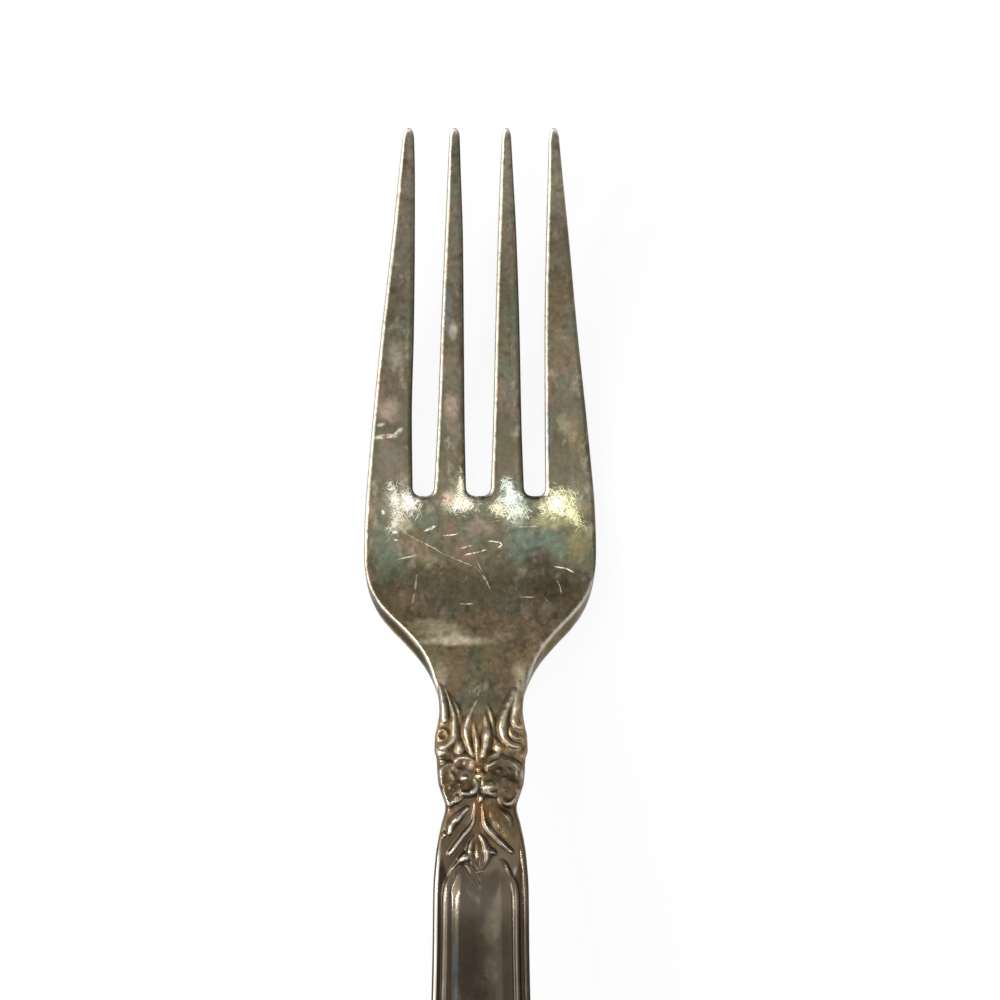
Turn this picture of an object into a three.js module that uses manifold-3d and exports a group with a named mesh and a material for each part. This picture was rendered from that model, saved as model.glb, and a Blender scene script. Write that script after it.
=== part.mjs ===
// A four-tined table fork, struck from one blank of metal and silver plated, lying on its back.
// Millimetres: +X across the fork to the right, +Y along it to the tine tips, +Z up from the table.
// The origin is on the table under the middle of the fork. Every member is lofted through cross-sections
// square to Y. A cross-section is named by its station, its distance from the tine tips.
import * as THREE from "three";
import { mergeVertices } from "three/addons/utils/BufferGeometryUtils.js";
import Module from "manifold-3d";

// Lengths of the members along the fork
const TINE_LENGTH = 40;
const HEAD_LENGTH = 20;
const NECK_LENGTH = 23.5;
const HANDLE_LENGTH = 106.5;

// Widths of the outline, from the head to the end of the handle
const HEAD_WIDTH = 25.7;
const PALM_SWELL = 0.2;
const SHOULDER_WIDTH = 18;
const NECK_WIDTH = 9.2;
const SCROLL_WIDTH = 10.12;
const BLOSSOM_WIDTH = 9.6;
const WAIST_WIDTH = 7.9;
const STEM_WIDTH = 10.4;
const GRIP_WIDTH = 10.7;
const END_WIDTH = 18.4;

// Where those widths lie, each measured from the start of its member, with the slope at the shoulder
const WIDEST_AT = 5.8;
const SHOULDER_AT = 15.6;
const SHOULDER_SLOPE = -1.02;
const NARROWEST_AT = 3.5;
const SCROLL_AT = 6.8;
const BLOSSOM_AT = 10.4;
const WAIST_AT = 14;
const GRIP_AT = 7;

// The tines and the slots between them
const OUTER_TINE_TIP = 1.02;
const INNER_TINE_TIP = 0.98;
const INNER_TINE_ROOT = 3.71;
const MIDDLE_SLOT_TIP = 4.67;
const MIDDLE_SLOT_ROOT = 2.55;
const SIDE_SLOT_TIP = 4.08;
const SIDE_SLOT_ROOT = 2.27;
const SLOT_FLARE = 1.4;
const SLOT_END_DEPTH = 0.9;
const TIP_ROUNDING = 0.9;
const TIP_BLUNTNESS = 0.3;

// Heights of the back above the table: the fork rests on its heel and on the pad at the handle's end
const TIP_RISE = 11.8;
const NECK_RISE = 5;
const ARCH_RISE = 11.5;
const FALL_RISE = 4.6;
const HEEL_AT = 3.5;
const HEEL_LENGTH = 4;
const ARCH_AT = 20;
const FALL_FROM_END = 32;
const PAD_LENGTH = 5;

// Thickness from back to front, and how far the middle of each face stands proud of its edges
const TIP_THICKNESS = 1.2;
const ROOT_THICKNESS = 2;
const PALM_THICKNESS = 2.2;
const NECK_THICKNESS = 3;
const WAIST_THICKNESS = 3.7;
const GRIP_THICKNESS = 3.2;
const END_THICKNESS = 2.2;
const NECK_CROWN = 0.45;
const END_CROWN = 0.2;
const BACK_CROWN = 0.35;
const FRONT_EDGE_RADIUS = 0.4;
const BACK_EDGE_RADIUS = 0.5;
const CORNER_SHARE = 0.45;

// The border round the handle: distances in from the outline, then heights
const RIM_INSET = 0.7;
const RIM_REACH = 0.5;
const RIM_HEIGHT = 0.24;
const THREAD_INSET = 1.5;
const THREAD_REACH = 0.3;
const THREAD_HEIGHT = 0.24;
const THREAD_RUN = 1.2;
const PANEL_INSET = 1.9;
const PANEL_SHOULDER = 3.4;
const PANEL_RISE = 0.5;
const BORDER_START = 16.5;
const BORDER_FADE = 5;

// The struck ornament, drawn across the fork from its middle line and along it from the row of blossoms,
// positive towards the handle. It is stretched along to fill the neck from end to end. A line has its
// bends, then its half width at each end. Pairs are mirrored.
const DRAWN_ABOVE = 10.4;
const DRAWN_BELOW = 13.1;
const LINE_STEEPNESS = 0.95;
const PAIRED_LINES = {
  scroll: { bends: [[3.8, -9.1], [2.9, -7], [2.55, -5], [3, -3.5], [4.5, -2.95]], from: 0.15, to: 0.5 },
  scrollEdge: { bends: [[4.15, -9.2], [3.95, -6.6], [3.8, -5.3]], from: 0.15, to: 0.35 },
  smallLeaf: { bends: [[1, -2], [2, -2.7], [2.3, -3.6]], from: 0.25, to: 0.45 },
  ribbon: { bends: [[0.35, 3], [0.5, 4.5], [1.3, 5.9], [3.4, 8.3]], from: 0.25, to: 0.35 },
  leafEdge: { bends: [[1.2, 3.1], [2.65, 4.45], [3.35, 6.1], [3.2, 6.9]], from: 0.3, to: 0.35 },
  leafVein: { bends: [[1.5, 4.2], [2.4, 5.9]], from: 0.2, to: 0.3 },
  pendantEdge: { bends: [[0.1, 5.95], [0.85, 7.5], [0.85, 8.9], [0.05, 10.75]], from: 0.3, to: 0.3 },
  pendantLobe: { bends: [[0.8, 7.6], [1.5, 8.3], [2.1, 8.7]], from: 0.5, to: 0.35 },
};
const SINGLE_LINES = {
  budLeftEdge: { bends: [[0.2, -10], [-0.9, -7.4], [-1.5, -5.1], [-0.8, -2.3]], from: 0.12, to: 0.4 },
  budRightEdge: { bends: [[0.2, -7.4], [0.85, -4.9], [0.2, -2]], from: 0.25, to: 0.4 },
  budVein: { bends: [[-0.5, -5.4], [-0.2, -1.2]], from: 0.2, to: 0.3 },
  sepal: { bends: [[0.3, -8], [1.35, -6.4], [1.65, -4.2]], from: 0.2, to: 0.3 },
};

// Swellings are domes or cups, with half their size across and along, their height and their turn in
// degrees. The cup's section runs from its sunk foot over its rounded rim to the middle of its bowl.
const CUP_SECTION = [[0, -1], [0.8, -1], [1, 0.2], [0.82, 1], [0.64, 0.75], [0.3, 0.25], [0, 0.2]];
const BLOSSOM_ACROSS = 2.34;
const BLOSSOM_ALONG = 0.48;
const PETALS = 4;
const PETAL_TURN = 63;
const PETAL_REACH = 1.5;
const PETAL = { width: 1.12, length: 1.05, rise: 0.5, cupped: true };
const PAIRED_SWELLINGS = {
  volute: { across: 4, along: -4.55, width: 0.95, length: 0.95, rise: 0.55, cupped: true },
  scrollLobe: { across: 4.35, along: -2.7, width: 0.6, length: 0.55, rise: 0.5 },
  heart: { across: BLOSSOM_ACROSS, along: BLOSSOM_ALONG, width: 0.6, length: 0.6, rise: 0.45 },
  leaf: { across: 2.25, along: 5.1, width: 0.85, length: 1.7, rise: 0.25, turn: 40 },
};
const SINGLE_SWELLINGS = {
  bud: { across: -0.35, along: -4.4, width: 1.15, length: 2.7, rise: 0.35, turn: -8 },
  bead: { across: 0, along: 0, width: 0.45, length: 0.45, rise: 0.6 },
  knop: { across: 0.05, along: 2.3, width: 0.4, length: 0.65, rise: 0.45 },
  pendant: { across: 0, along: 8.3, width: 0.9, length: 2.3, rise: 0.4 },
};
const PANEL_ARCH = [[0, 12.3], [0.95, 10.1], [2.05, 9.15], [3, 9.9]];

// How finely the curved faces are divided
const LINE_STEPS = 8;
const LINE_SIDES = 8;
const CUP_SIDES = 12;
const DOME_SIDES = 10;
const DOME_RINGS = 6;
const CORNER_STEPS = 2;
const TINE_STEPS = 11;
const TIP_STEPS = 4;
const SLOT_END_STEPS = 5;
const PALM_STEPS = 3;
const SHOULDER_STEPS = 13;
const HEAD_COLUMNS = 8;
const NECK_STEPS = 24;
const HANDLE_STEPS = 26;
const END_STEPS = 7;
const END_BORDER_STEPS = 12;
const BORDER_COLUMNS = 7;
const PANEL_COLUMNS = 8;
const BACK_COLUMNS = 4;
const TINE_COLUMNS = 1;
const SLOPE_STEP = 0.05;
const WELD = 1e-4;

// Stations of the planes where the members meet
const ROOTS = TINE_LENGTH;
const NECK_START = ROOTS + HEAD_LENGTH;
const HANDLE_START = NECK_START + NECK_LENGTH;
const FORK_LENGTH = HANDLE_START + HANDLE_LENGTH;
const BLOSSOM_ROW = NECK_START + BLOSSOM_AT;
const END_RADIUS = END_WIDTH / 2;
const END_CENTRE = FORK_LENGTH - END_RADIUS;
const END_OVERSHOOT = 0.03;
const HEEL_START = ROOTS + HEEL_AT;
const HEEL_END = HEEL_START + HEEL_LENGTH;
const PAD_START = FORK_LENGTH - PAD_LENGTH;

// The slots and inner tines set the spread of the tips. At the roots the outer tines take what is left.
const TIP_HALF = MIDDLE_SLOT_TIP / 2 + INNER_TINE_TIP + SIDE_SLOT_TIP + OUTER_TINE_TIP;
const HEAD_HALF = HEAD_WIDTH / 2;

// A smooth curve through [station, value] pairs that never overshoots them. A third number is a slope.
function through(stations) {
  const slopes = stations.map(([station, value, slope], i) => {
    if (slope !== undefined) return slope;
    const before = stations[i - 1];
    const after = stations[i + 1];
    const rateBefore = before && (value - before[1]) / (station - before[0]);
    const rateAfter = after && (after[1] - value) / (after[0] - station);
    if (!before) return rateAfter;
    if (!after) return rateBefore;
    if (rateBefore * rateAfter <= 0) return 0;
    return (2 * rateBefore * rateAfter) / (rateBefore + rateAfter);
  });
  return (at) => {
    const last = stations.length - 1;
    if (at <= stations[0][0]) return stations[0][1];
    if (at >= stations[last][0]) return stations[last][1];
    const i = stations.findIndex(([station]) => station > at) - 1;
    const span = stations[i + 1][0] - stations[i][0];
    const t = (at - stations[i][0]) / span;
    const held = 1 - 3 * t * t + 2 * t * t * t;
    const leaving = slopes[i] * span * t * (1 - t) * (1 - t);
    const arriving = slopes[i + 1] * span * t * t * (1 - t);
    return stations[i][1] * held + stations[i + 1][1] * (1 - held) + leaving - arriving;
  };
}

const smoothStep = (t) => THREE.MathUtils.smoothstep(t, 0, 1);
const roundOver = (share) => Math.max(0, 1 - share * share);
const slopeOf = (curve, at) => (curve(at + SLOPE_STEP) - curve(at - SLOPE_STEP)) / (2 * SLOPE_STEP);

// Half the width of the blank at a station
const sides = through([
  [0, TIP_HALF],
  [ROOTS, HEAD_HALF - PALM_SWELL],
  [ROOTS + WIDEST_AT, HEAD_HALF],
  [ROOTS + SHOULDER_AT, SHOULDER_WIDTH / 2, SHOULDER_SLOPE],
  [NECK_START + NARROWEST_AT, NECK_WIDTH / 2],
  [NECK_START + SCROLL_AT, SCROLL_WIDTH / 2],
  [BLOSSOM_ROW, BLOSSOM_WIDTH / 2],
  [NECK_START + WAIST_AT, WAIST_WIDTH / 2],
  [HANDLE_START, STEM_WIDTH / 2],
  [HANDLE_START + GRIP_AT, GRIP_WIDTH / 2],
  [END_CENTRE, END_RADIUS, 0],
]);

// The outline drawn in by a distance, which follows the round end of the handle
function outline(at, inset = 0) {
  if (at <= END_CENTRE) return sides(at) - inset;
  const along = (at - END_CENTRE) / (END_RADIUS + END_OVERSHOOT - inset);
  return (END_RADIUS - inset) * Math.sqrt(Math.max(0, 1 - along * along));
}

// How far a point of the handle's front lies in from the outline
function insetOf(across, at) {
  if (at <= END_CENTRE) return sides(at) - Math.abs(across);
  return END_RADIUS - Math.hypot(across, at - END_CENTRE);
}

const back = through([
  [0, TIP_RISE, (-2 * TIP_RISE) / HEEL_START],
  [HEEL_START, 0],
  [HEEL_END, 0],
  [NECK_START, NECK_RISE],
  [HANDLE_START + ARCH_AT, ARCH_RISE],
  [FORK_LENGTH - FALL_FROM_END, FALL_RISE],
  [PAD_START, 0],
  [FORK_LENGTH, 0],
]);

const thickness = through([
  [0, TIP_THICKNESS],
  [ROOTS, ROOT_THICKNESS],
  [ROOTS + WIDEST_AT, PALM_THICKNESS],
  [NECK_START, NECK_THICKNESS],
  [NECK_START + WAIST_AT, WAIST_THICKNESS],
  [HANDLE_START + ARCH_AT, GRIP_THICKNESS],
  [FORK_LENGTH, END_THICKNESS],
]);

const frontCrown = through([
  [ROOTS + SHOULDER_AT, 0],
  [BLOSSOM_ROW, NECK_CROWN],
  [HANDLE_START, NECK_CROWN],
  [FORK_LENGTH, END_CROWN],
]);

const backCrown = through([
  [HEEL_END, 0],
  [NECK_START, BACK_CROWN],
  [FORK_LENGTH - FALL_FROM_END, BACK_CROWN],
  [PAD_START, 0],
]);

// The edge of a bent blank leans with it, so the front outline lies a little along from the back outline
const lean = (at) => thickness(at) * slopeOf(back, at);
const frontOutline = (at) => outline(at + lean(at));

// The rim and the swelling panel start under the ornament and run round the end of the handle
function frontHeight(across, at) {
  const inset = insetOf(across, at);
  const shown = smoothStep((at - NECK_START - BORDER_START) / BORDER_FADE);
  const rim = RIM_HEIGHT * roundOver((inset - RIM_INSET) / RIM_REACH);
  const climb = THREE.MathUtils.clamp((inset - PANEL_INSET) / PANEL_SHOULDER, 0, 1);
  const panel = PANEL_RISE * roundOver(1 - climb);
  const share = across / Math.max(frontOutline(at), WELD);
  return back(at) + thickness(at) - frontCrown(at) * share * share + shown * (rim + panel);
}

// On the handle a fine thread runs between the rim and the panel
function threadedHeight(across, at) {
  const share = (insetOf(across, at) - THREAD_INSET) / THREAD_REACH;
  return frontHeight(across, at) + THREAD_HEIGHT * roundOver(share);
}

function backHeight(across, at) {
  const share = across / Math.max(outline(at), WELD);
  return back(at) + backCrown(at) * share * share;
}

// The rounded corner between an edge and a face, from the edge inwards and short of the face itself.
// Inwards is +1 at a left edge and -1 at a right one, and up is +1 at the front and -1 at the back.
function corner(edge, face, radius, inwards, up) {
  return Array.from({ length: CORNER_STEPS }, (_, i) => {
    const turn = (Math.PI / 2) * (i / CORNER_STEPS);
    return [edge + inwards * radius * (1 - Math.cos(turn)), face - up * radius * (1 - Math.sin(turn))];
  });
}

// One cross-section as a closed ring: over the front from left to right, then under the back to the left.
// Each face has its edges, its height and its columns, as shares of the width between the rounded corners.
function crossSection(at, depth, front, rear) {
  const spread = (face, radius) => {
    const middle = (face.left + face.right) / 2;
    const half = (face.right - face.left) / 2 - radius;
    return face.columns.map((share) => middle + share * half).map((x) => [x, face.height(x)]);
  };
  const limit = (face) => CORNER_SHARE * Math.min(depth, face.right - face.left);
  const radius = Math.min(FRONT_EDGE_RADIUS, limit(front));
  const backRadius = Math.min(BACK_EDGE_RADIUS, limit(rear));
  const over = spread(front, radius);
  const under = spread(rear, backRadius).reverse();
  const ring = [
    ...corner(front.left, over[0][1], radius, 1, 1),
    ...over,
    ...corner(front.right, over[over.length - 1][1], radius, -1, 1).reverse(),
    ...corner(rear.right, under[0][1], backRadius, -1, -1),
    ...under,
    ...corner(rear.left, under[under.length - 1][1], backRadius, 1, -1).reverse(),
  ];
  return ring.map(([x, z]) => new THREE.Vector3(x, FORK_LENGTH / 2 - at, z));
}

// A closed solid through rings of equal length with flat ends, each patch split on its shorter diagonal.
// Flatten gives a point's place in the plane of its ring, whose points run clockwise as seen from beyond
// the last ring.
function loft(rings, flatten) {
  const count = rings[0].length;
  const faces = [];
  for (let row = 0; row + 1 < rings.length; row++) {
    for (let i = 0; i < count; i++) {
      const next = (i + 1) % count;
      const [near, beside] = [row * count + i, row * count + next];
      const falling = rings[row][i].distanceTo(rings[row + 1][next]);
      const rising = rings[row][next].distanceTo(rings[row + 1][i]);
      if (falling < rising) {
        faces.push([near, near + count, beside + count], [near, beside + count, beside]);
      } else {
        faces.push([near, near + count, beside], [beside, near + count, beside + count]);
      }
    }
  }
  const lastRow = (rings.length - 1) * count;
  const capOf = (ring) => THREE.ShapeUtils.triangulateShape(ring.map(flatten), []);
  faces.push(...capOf(rings[0]).map((face) => face.reverse()));
  faces.push(...capOf(rings[rings.length - 1]).map((face) => face.map((i) => i + lastRow)));
  return closedGeometry(rings.flat(), faces.flat());
}

// Points and faces as one geometry, with doubled points welded and the faces that close up left out
function closedGeometry(points, indices) {
  const soup = new THREE.BufferGeometry().setFromPoints(points);
  soup.setIndex(indices);
  const welded = mergeVertices(soup, WELD);
  const kept = [];
  for (let i = 0; i < welded.index.count; i += 3) {
    const [a, b, c] = [0, 1, 2].map((k) => welded.index.getX(i + k));
    if (a !== b && b !== c && c !== a) kept.push(a, b, c);
  }
  welded.setIndex(kept);
  welded.computeVertexNormals();
  return welded;
}

const acrossSection = (point) => new THREE.Vector2(point.x, point.z);

function evenly(from, to, steps) {
  return Array.from({ length: steps + 1 }, (_, i) => from + ((to - from) * i) / steps);
}

const evenColumns = (count) => evenly(-1, 1, count);

// Half widths and middles of the slots, which open out towards the tips and end in a round at the roots
function opening(tip, root, at) {
  return root + (tip - root) * Math.pow(Math.max(0, 1 - at / ROOTS), SLOT_FLARE);
}

const middleSlot = (at) => opening(MIDDLE_SLOT_TIP, MIDDLE_SLOT_ROOT, at);
const sideSlot = (at) => opening(SIDE_SLOT_TIP, SIDE_SLOT_ROOT, at);
const innerTine = (at) => THREE.MathUtils.lerp(INNER_TINE_TIP, INNER_TINE_ROOT, at / ROOTS);
const sideSlotMiddle = (at) => middleSlot(at) / 2 + innerTine(at) + sideSlot(at) / 2;

function slotClosing(at) {
  const along = Math.max(0, (at - ROOTS + SLOT_END_DEPTH) / SLOT_END_DEPTH);
  return Math.sqrt(Math.max(0, 1 - along * along));
}

// The two edges of a tine on the right-hand side at a station, inner edge first
const middleGap = (at) => (middleSlot(at) / 2) * slotClosing(at);
const sideGap = (at) => (sideSlot(at) / 2) * slotClosing(at);
const tineEdges = {
  inner: (at) => [middleGap(at), sideSlotMiddle(at) - sideGap(at)],
  outer: (at) => [sideSlotMiddle(at) + sideGap(at), frontOutline(at)],
};

function tine(edgesAt, side) {
  const rings = STATIONS.tine.map((at) => {
    const past = Math.max(0, 1 - at / TIP_ROUNDING);
    const fullness = Math.sqrt(1 - past * past * (1 - TIP_BLUNTNESS * TIP_BLUNTNESS));
    const [inner, outer] = edgesAt(at).map((x) => x * side).sort((a, b) => a - b);
    const middle = (inner + outer) / 2;
    const half = ((outer - inner) / 2) * fullness;
    const deep = (thickness(at) / 2) * fullness;
    const level = back(at) + thickness(at) / 2;
    const edges = { left: middle - half, right: middle + half, columns: evenColumns(TINE_COLUMNS) };
    const front = { ...edges, height: () => level + deep };
    const rear = { ...edges, height: () => level - deep };
    return crossSection(at, 2 * deep, front, rear);
  });
  return loft(rings, acrossSection);
}

// A stretch of the blank behind the tine roots, where the columns may change from station to station
function body(stations, columnsAt, heightAt) {
  const rings = stations.map((at) => {
    const width = frontOutline(at);
    const backWidth = outline(at);
    const depth = thickness(at) - frontCrown(at) - backCrown(at);
    const front = { left: -width, right: width, columns: columnsAt(at), height: (x) => heightAt(x, at) };
    const rear = { left: -backWidth, right: backWidth, columns: evenColumns(BACK_COLUMNS) };
    return crossSection(at, depth, front, { ...rear, height: (x) => backHeight(x, at) });
  });
  return loft(rings, acrossSection);
}

// Columns of the handle: close together across the border, where they run parallel to the outline
function handleColumns(at) {
  const width = frontOutline(at) - FRONT_EDGE_RADIUS;
  const insets = evenly(FRONT_EDGE_RADIUS, PANEL_INSET, BORDER_COLUMNS);
  const border = insets.map((inset) => outline(at, inset) / width);
  const inmost = border[BORDER_COLUMNS];
  const panel = evenly(-inmost, inmost, PANEL_COLUMNS).slice(1, -1);
  return [...border.map((share) => -share), ...panel, ...border.reverse()];
}

const wasm = await Module();
wasm.setup();

function solidOf(geometry) {
  const bare = new THREE.BufferGeometry().setAttribute("position", geometry.getAttribute("position"));
  bare.setIndex(geometry.index);
  const merged = mergeVertices(bare, WELD);
  const mesh = { numProp: 3, vertProperties: merged.getAttribute("position").array };
  return new wasm.Manifold(new wasm.Mesh({ ...mesh, triVerts: new Uint32Array(merged.index.array) }));
}

function geometryOf(solid) {
  const mesh = solid.getMesh();
  const geometry = new THREE.BufferGeometry();
  geometry.setAttribute("position", new THREE.BufferAttribute(mesh.vertProperties, 3));
  geometry.setIndex(new THREE.BufferAttribute(mesh.triVerts, 1));
  geometry.computeVertexNormals();
  return geometry;
}

// A spot of the ornament as a point on the neck's front
function onNeck(across, along) {
  const stretch = along < 0 ? BLOSSOM_AT / DRAWN_ABOVE : (NECK_LENGTH - BLOSSOM_AT) / DRAWN_BELOW;
  const at = BLOSSOM_ROW + along * stretch;
  return new THREE.Vector3(across, FORK_LENGTH / 2 - at, frontHeight(across, at));
}

// The turn that stands +Z up square to the neck's front at a spot
function uprightAt(across, along) {
  const over = onNeck(across + SLOPE_STEP, along).sub(onNeck(across - SLOPE_STEP, along));
  const down = onNeck(across, along + SLOPE_STEP).sub(onNeck(across, along - SLOPE_STEP));
  const square = down.cross(over).normalize();
  return new THREE.Quaternion().setFromUnitVectors(new THREE.Vector3(0, 0, 1), square);
}

// A raised line: a tapering round rod along its spline, half sunk in the neck's front
function lineSolid({ bends, from, to }, side) {
  const places = bends.map(([across, along]) => new THREE.Vector2(side * across, along));
  const spline = new THREE.SplineCurve(places);
  const turns = evenly(2 * Math.PI, 0, LINE_SIDES).slice(1);
  const rings = evenly(0, 1, LINE_STEPS).map((t) => {
    const spot = spline.getPoint(t);
    const run = spline.getTangent(t);
    const half = THREE.MathUtils.lerp(from, to, t);
    const middle = onNeck(spot.x, spot.y);
    return turns.map((turn) => {
      const out = half * Math.cos(turn);
      const up = half * LINE_STEEPNESS * Math.sin(turn);
      return middle.clone().add(new THREE.Vector3(run.y * out, run.x * out, up));
    });
  });
  const flatRing = (_, i) => new THREE.Vector2(Math.cos(turns[i]), Math.sin(turns[i]));
  return solidOf(loft(rings, flatRing));
}

const cupSection = CUP_SECTION.map(([out, up]) => new THREE.Vector2(out, up));
const domeSection = evenly(-Math.PI / 2, Math.PI / 2, DOME_RINGS).map(
  (lift) => new THREE.Vector2(Math.cos(lift), Math.sin(lift)),
);

// A dome, or a cup with a rounded rim, seated on the neck's front and sunk as deep as it stands proud
function swellingSolid({ across, along, width, length, rise, cupped, turn = 0 }, side) {
  const section = cupped ? cupSection : domeSection;
  const shape = new THREE.LatheGeometry(section, cupped ? CUP_SIDES : DOME_SIDES);
  shape.rotateX(Math.PI / 2);
  shape.scale(width, length, rise);
  shape.rotateZ(THREE.MathUtils.degToRad(side * turn));
  shape.applyQuaternion(uprightAt(side * across, along));
  shape.translate(...onNeck(side * across, along).toArray());
  return solidOf(closedGeometry(pointsOf(shape), [...shape.index.array]));
}

function pointsOf(geometry) {
  const places = geometry.getAttribute("position");
  return Array.from({ length: places.count }, (_, i) => new THREE.Vector3().fromBufferAttribute(places, i));
}

// The petals set evenly round the heart of the right-hand blossom
const petals = Array.from({ length: PETALS }, (_, i) => {
  const turn = PETAL_TURN + (360 / PETALS) * i;
  const angle = THREE.MathUtils.degToRad(turn);
  const across = BLOSSOM_ACROSS + PETAL_REACH * Math.cos(angle);
  const along = BLOSSOM_ALONG + PETAL_REACH * Math.sin(angle);
  return { ...PETAL, across, along, turn: 90 - turn };
});

// The thread's arch over the panel, which runs straight on into the handle's own thread
const threadAcross = outline(HANDLE_START) - THREAD_INSET;
const threadBends = PANEL_ARCH.concat([
  [threadAcross, DRAWN_BELOW - THREAD_RUN],
  [threadAcross, DRAWN_BELOW],
]);

function ornamentedNeck() {
  const plain = solidOf(body(STATIONS.neck, handleColumns, frontHeight));
  const thread = { bends: threadBends, from: THREAD_REACH, to: THREAD_REACH };
  const lines = [...Object.values(PAIRED_LINES), thread];
  const swellings = [...Object.values(PAIRED_SWELLINGS), ...petals];
  const raised = [-1, 1].flatMap((side) => [
    ...lines.map((line) => lineSolid(line, side)),
    ...swellings.map((swelling) => swellingSolid(swelling, side)),
  ]);
  raised.push(...Object.values(SINGLE_LINES).map((line) => lineSolid(line, 1)));
  raised.push(...Object.values(SINGLE_SWELLINGS).map((swelling) => swellingSolid(swelling, 1)));
  return geometryOf(raised.reduce((whole, piece) => whole.add(piece), plain));
}

// The cross-sections of each member, closer together round the tips, the slot ends and the handle's end
const quarterTurn = (steps, turn) => evenly(0, turn, steps).slice(1).map(Math.sin);
const panelEnd = FORK_LENGTH - PANEL_INSET;
const endTurn = Math.asin((panelEnd - END_CENTRE) / END_RADIUS);
const slotEndStart = ROOTS - SLOT_END_DEPTH;
const STATIONS = {
  tine: [
    ...evenly(0, 1, TIP_STEPS).map((t) => TIP_ROUNDING * t * t),
    ...evenly(TIP_ROUNDING, slotEndStart, TINE_STEPS).slice(1),
    ...quarterTurn(SLOT_END_STEPS, Math.PI / 2).map((reach) => slotEndStart + SLOT_END_DEPTH * reach),
  ],
  head: [
    ...evenly(ROOTS, HEEL_START, PALM_STEPS),
    ...evenly(HEEL_END, NECK_START, SHOULDER_STEPS),
  ],
  neck: evenly(NECK_START, HANDLE_START, NECK_STEPS),
  handle: [
    ...evenly(HANDLE_START, END_CENTRE, HANDLE_STEPS),
    ...quarterTurn(END_STEPS, endTurn).map((reach) => END_CENTRE + END_RADIUS * reach),
    ...evenly(panelEnd, FORK_LENGTH, END_BORDER_STEPS).slice(1),
  ],
};

// Tarnished silver plate: olive grey on the head, browner and darker towards the handle
function silver(colour, roughness) {
  return new THREE.MeshStandardMaterial({ color: colour, roughness, metalness: 1 });
}

const fork = new THREE.Group();

function add(name, geometry, material) {
  const mesh = new THREE.Mesh(geometry, material);
  mesh.name = name;
  fork.add(mesh);
}

for (const [hand, side] of [["left", -1], ["right", 1]]) {
  add(`${hand}_outer_tine`, tine(tineEdges.outer, side), silver(0x857d6b, 0.38));
  add(`${hand}_inner_tine`, tine(tineEdges.inner, side), silver(0x7d7566, 0.38));
}
add("head", body(STATIONS.head, () => evenColumns(HEAD_COLUMNS), frontHeight), silver(0x7c7460, 0.36));
add("neck", ornamentedNeck(), silver(0x5c5446, 0.34));
add("handle", body(STATIONS.handle, handleColumns, threadedHeight), silver(0x4d463b, 0.28));

export default fork;
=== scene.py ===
"""A silver-plated table fork, tarnished and scratched, lying on its back and seen from straight above.

Lengths are millimetres until a mesh is made, which is in metres. A place on the fork is its distance
across from the middle line, positive to the right, and its station, the distance from the tine tips.
"""

import math

import bmesh
import bpy
import numpy as np
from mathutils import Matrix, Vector
from mathutils.kdtree import KDTree


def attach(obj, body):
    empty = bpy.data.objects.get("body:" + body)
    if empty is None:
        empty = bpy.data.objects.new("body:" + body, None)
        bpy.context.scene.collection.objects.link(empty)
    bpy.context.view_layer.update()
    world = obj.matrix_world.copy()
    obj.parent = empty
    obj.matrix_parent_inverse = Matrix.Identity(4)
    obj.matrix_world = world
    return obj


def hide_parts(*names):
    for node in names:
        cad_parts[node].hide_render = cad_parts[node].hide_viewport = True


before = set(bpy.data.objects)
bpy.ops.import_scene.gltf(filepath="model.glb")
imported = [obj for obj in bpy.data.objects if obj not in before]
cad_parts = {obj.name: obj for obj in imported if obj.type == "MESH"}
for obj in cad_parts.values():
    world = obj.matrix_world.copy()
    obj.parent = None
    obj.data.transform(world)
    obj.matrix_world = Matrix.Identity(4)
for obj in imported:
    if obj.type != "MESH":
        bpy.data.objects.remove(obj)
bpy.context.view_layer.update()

MM = 0.001
WELD = 1e-3
TINY = 1e-12
# A size that makes an oval patch reach through the whole thickness
FAR = 1e4
SHARP_ANGLE = 50

# Stations where the members of the fork meet and where it ends
ROOTS = 40.0
NECK_START = 60.0
HANDLE_START = 83.5
FORK_LENGTH = 190.0
# Stations of the side profile: the flat of the heel, the top of the arch, and its fall to the flat of the end
HEEL_START = 43.5
HEEL_END = 47.5
ARCH_TOP = 103.5
ARCH_FALL = 158.0
END_FLAT = 185.0

# The outline: half widths and where they lie
TIP_HALF = 8.415
SHOULDER_TOP = (53.0, 11.27, -0.6)
SHOULDER_FOOT = (60.0, 5.56, -0.48)
HEAD_HALF = 12.85
PALM_SWELL = 0.2
WIDEST_AT = 45.8
SHOULDER_AT = 55.6
SHOULDER_HALF = 9.1
SHOULDER_SLOPE = -1.02
WAIST_AT = 74.0
NECK_OUTLINE = (
    (64.2, 4.58), (66, 4.82), (67, 5.04), (68.6, 5.1), (69.5, 4.87), (71.2, 4.76), (72.1, 4.66),
    (73, 4.4), (74.7, 3.9), (76.5, 4.32), (78.2, 4.68), (80, 4.95),
)
BLOSSOM_AT = 70.4
UNDERCUT = 0.2
STEM_HALF = 5.2
GRIP_AT = 90.5
GRIP_HALF = 5.28
END_RADIUS = 9.2
END_CENTRE = FORK_LENGTH - END_RADIUS

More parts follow.
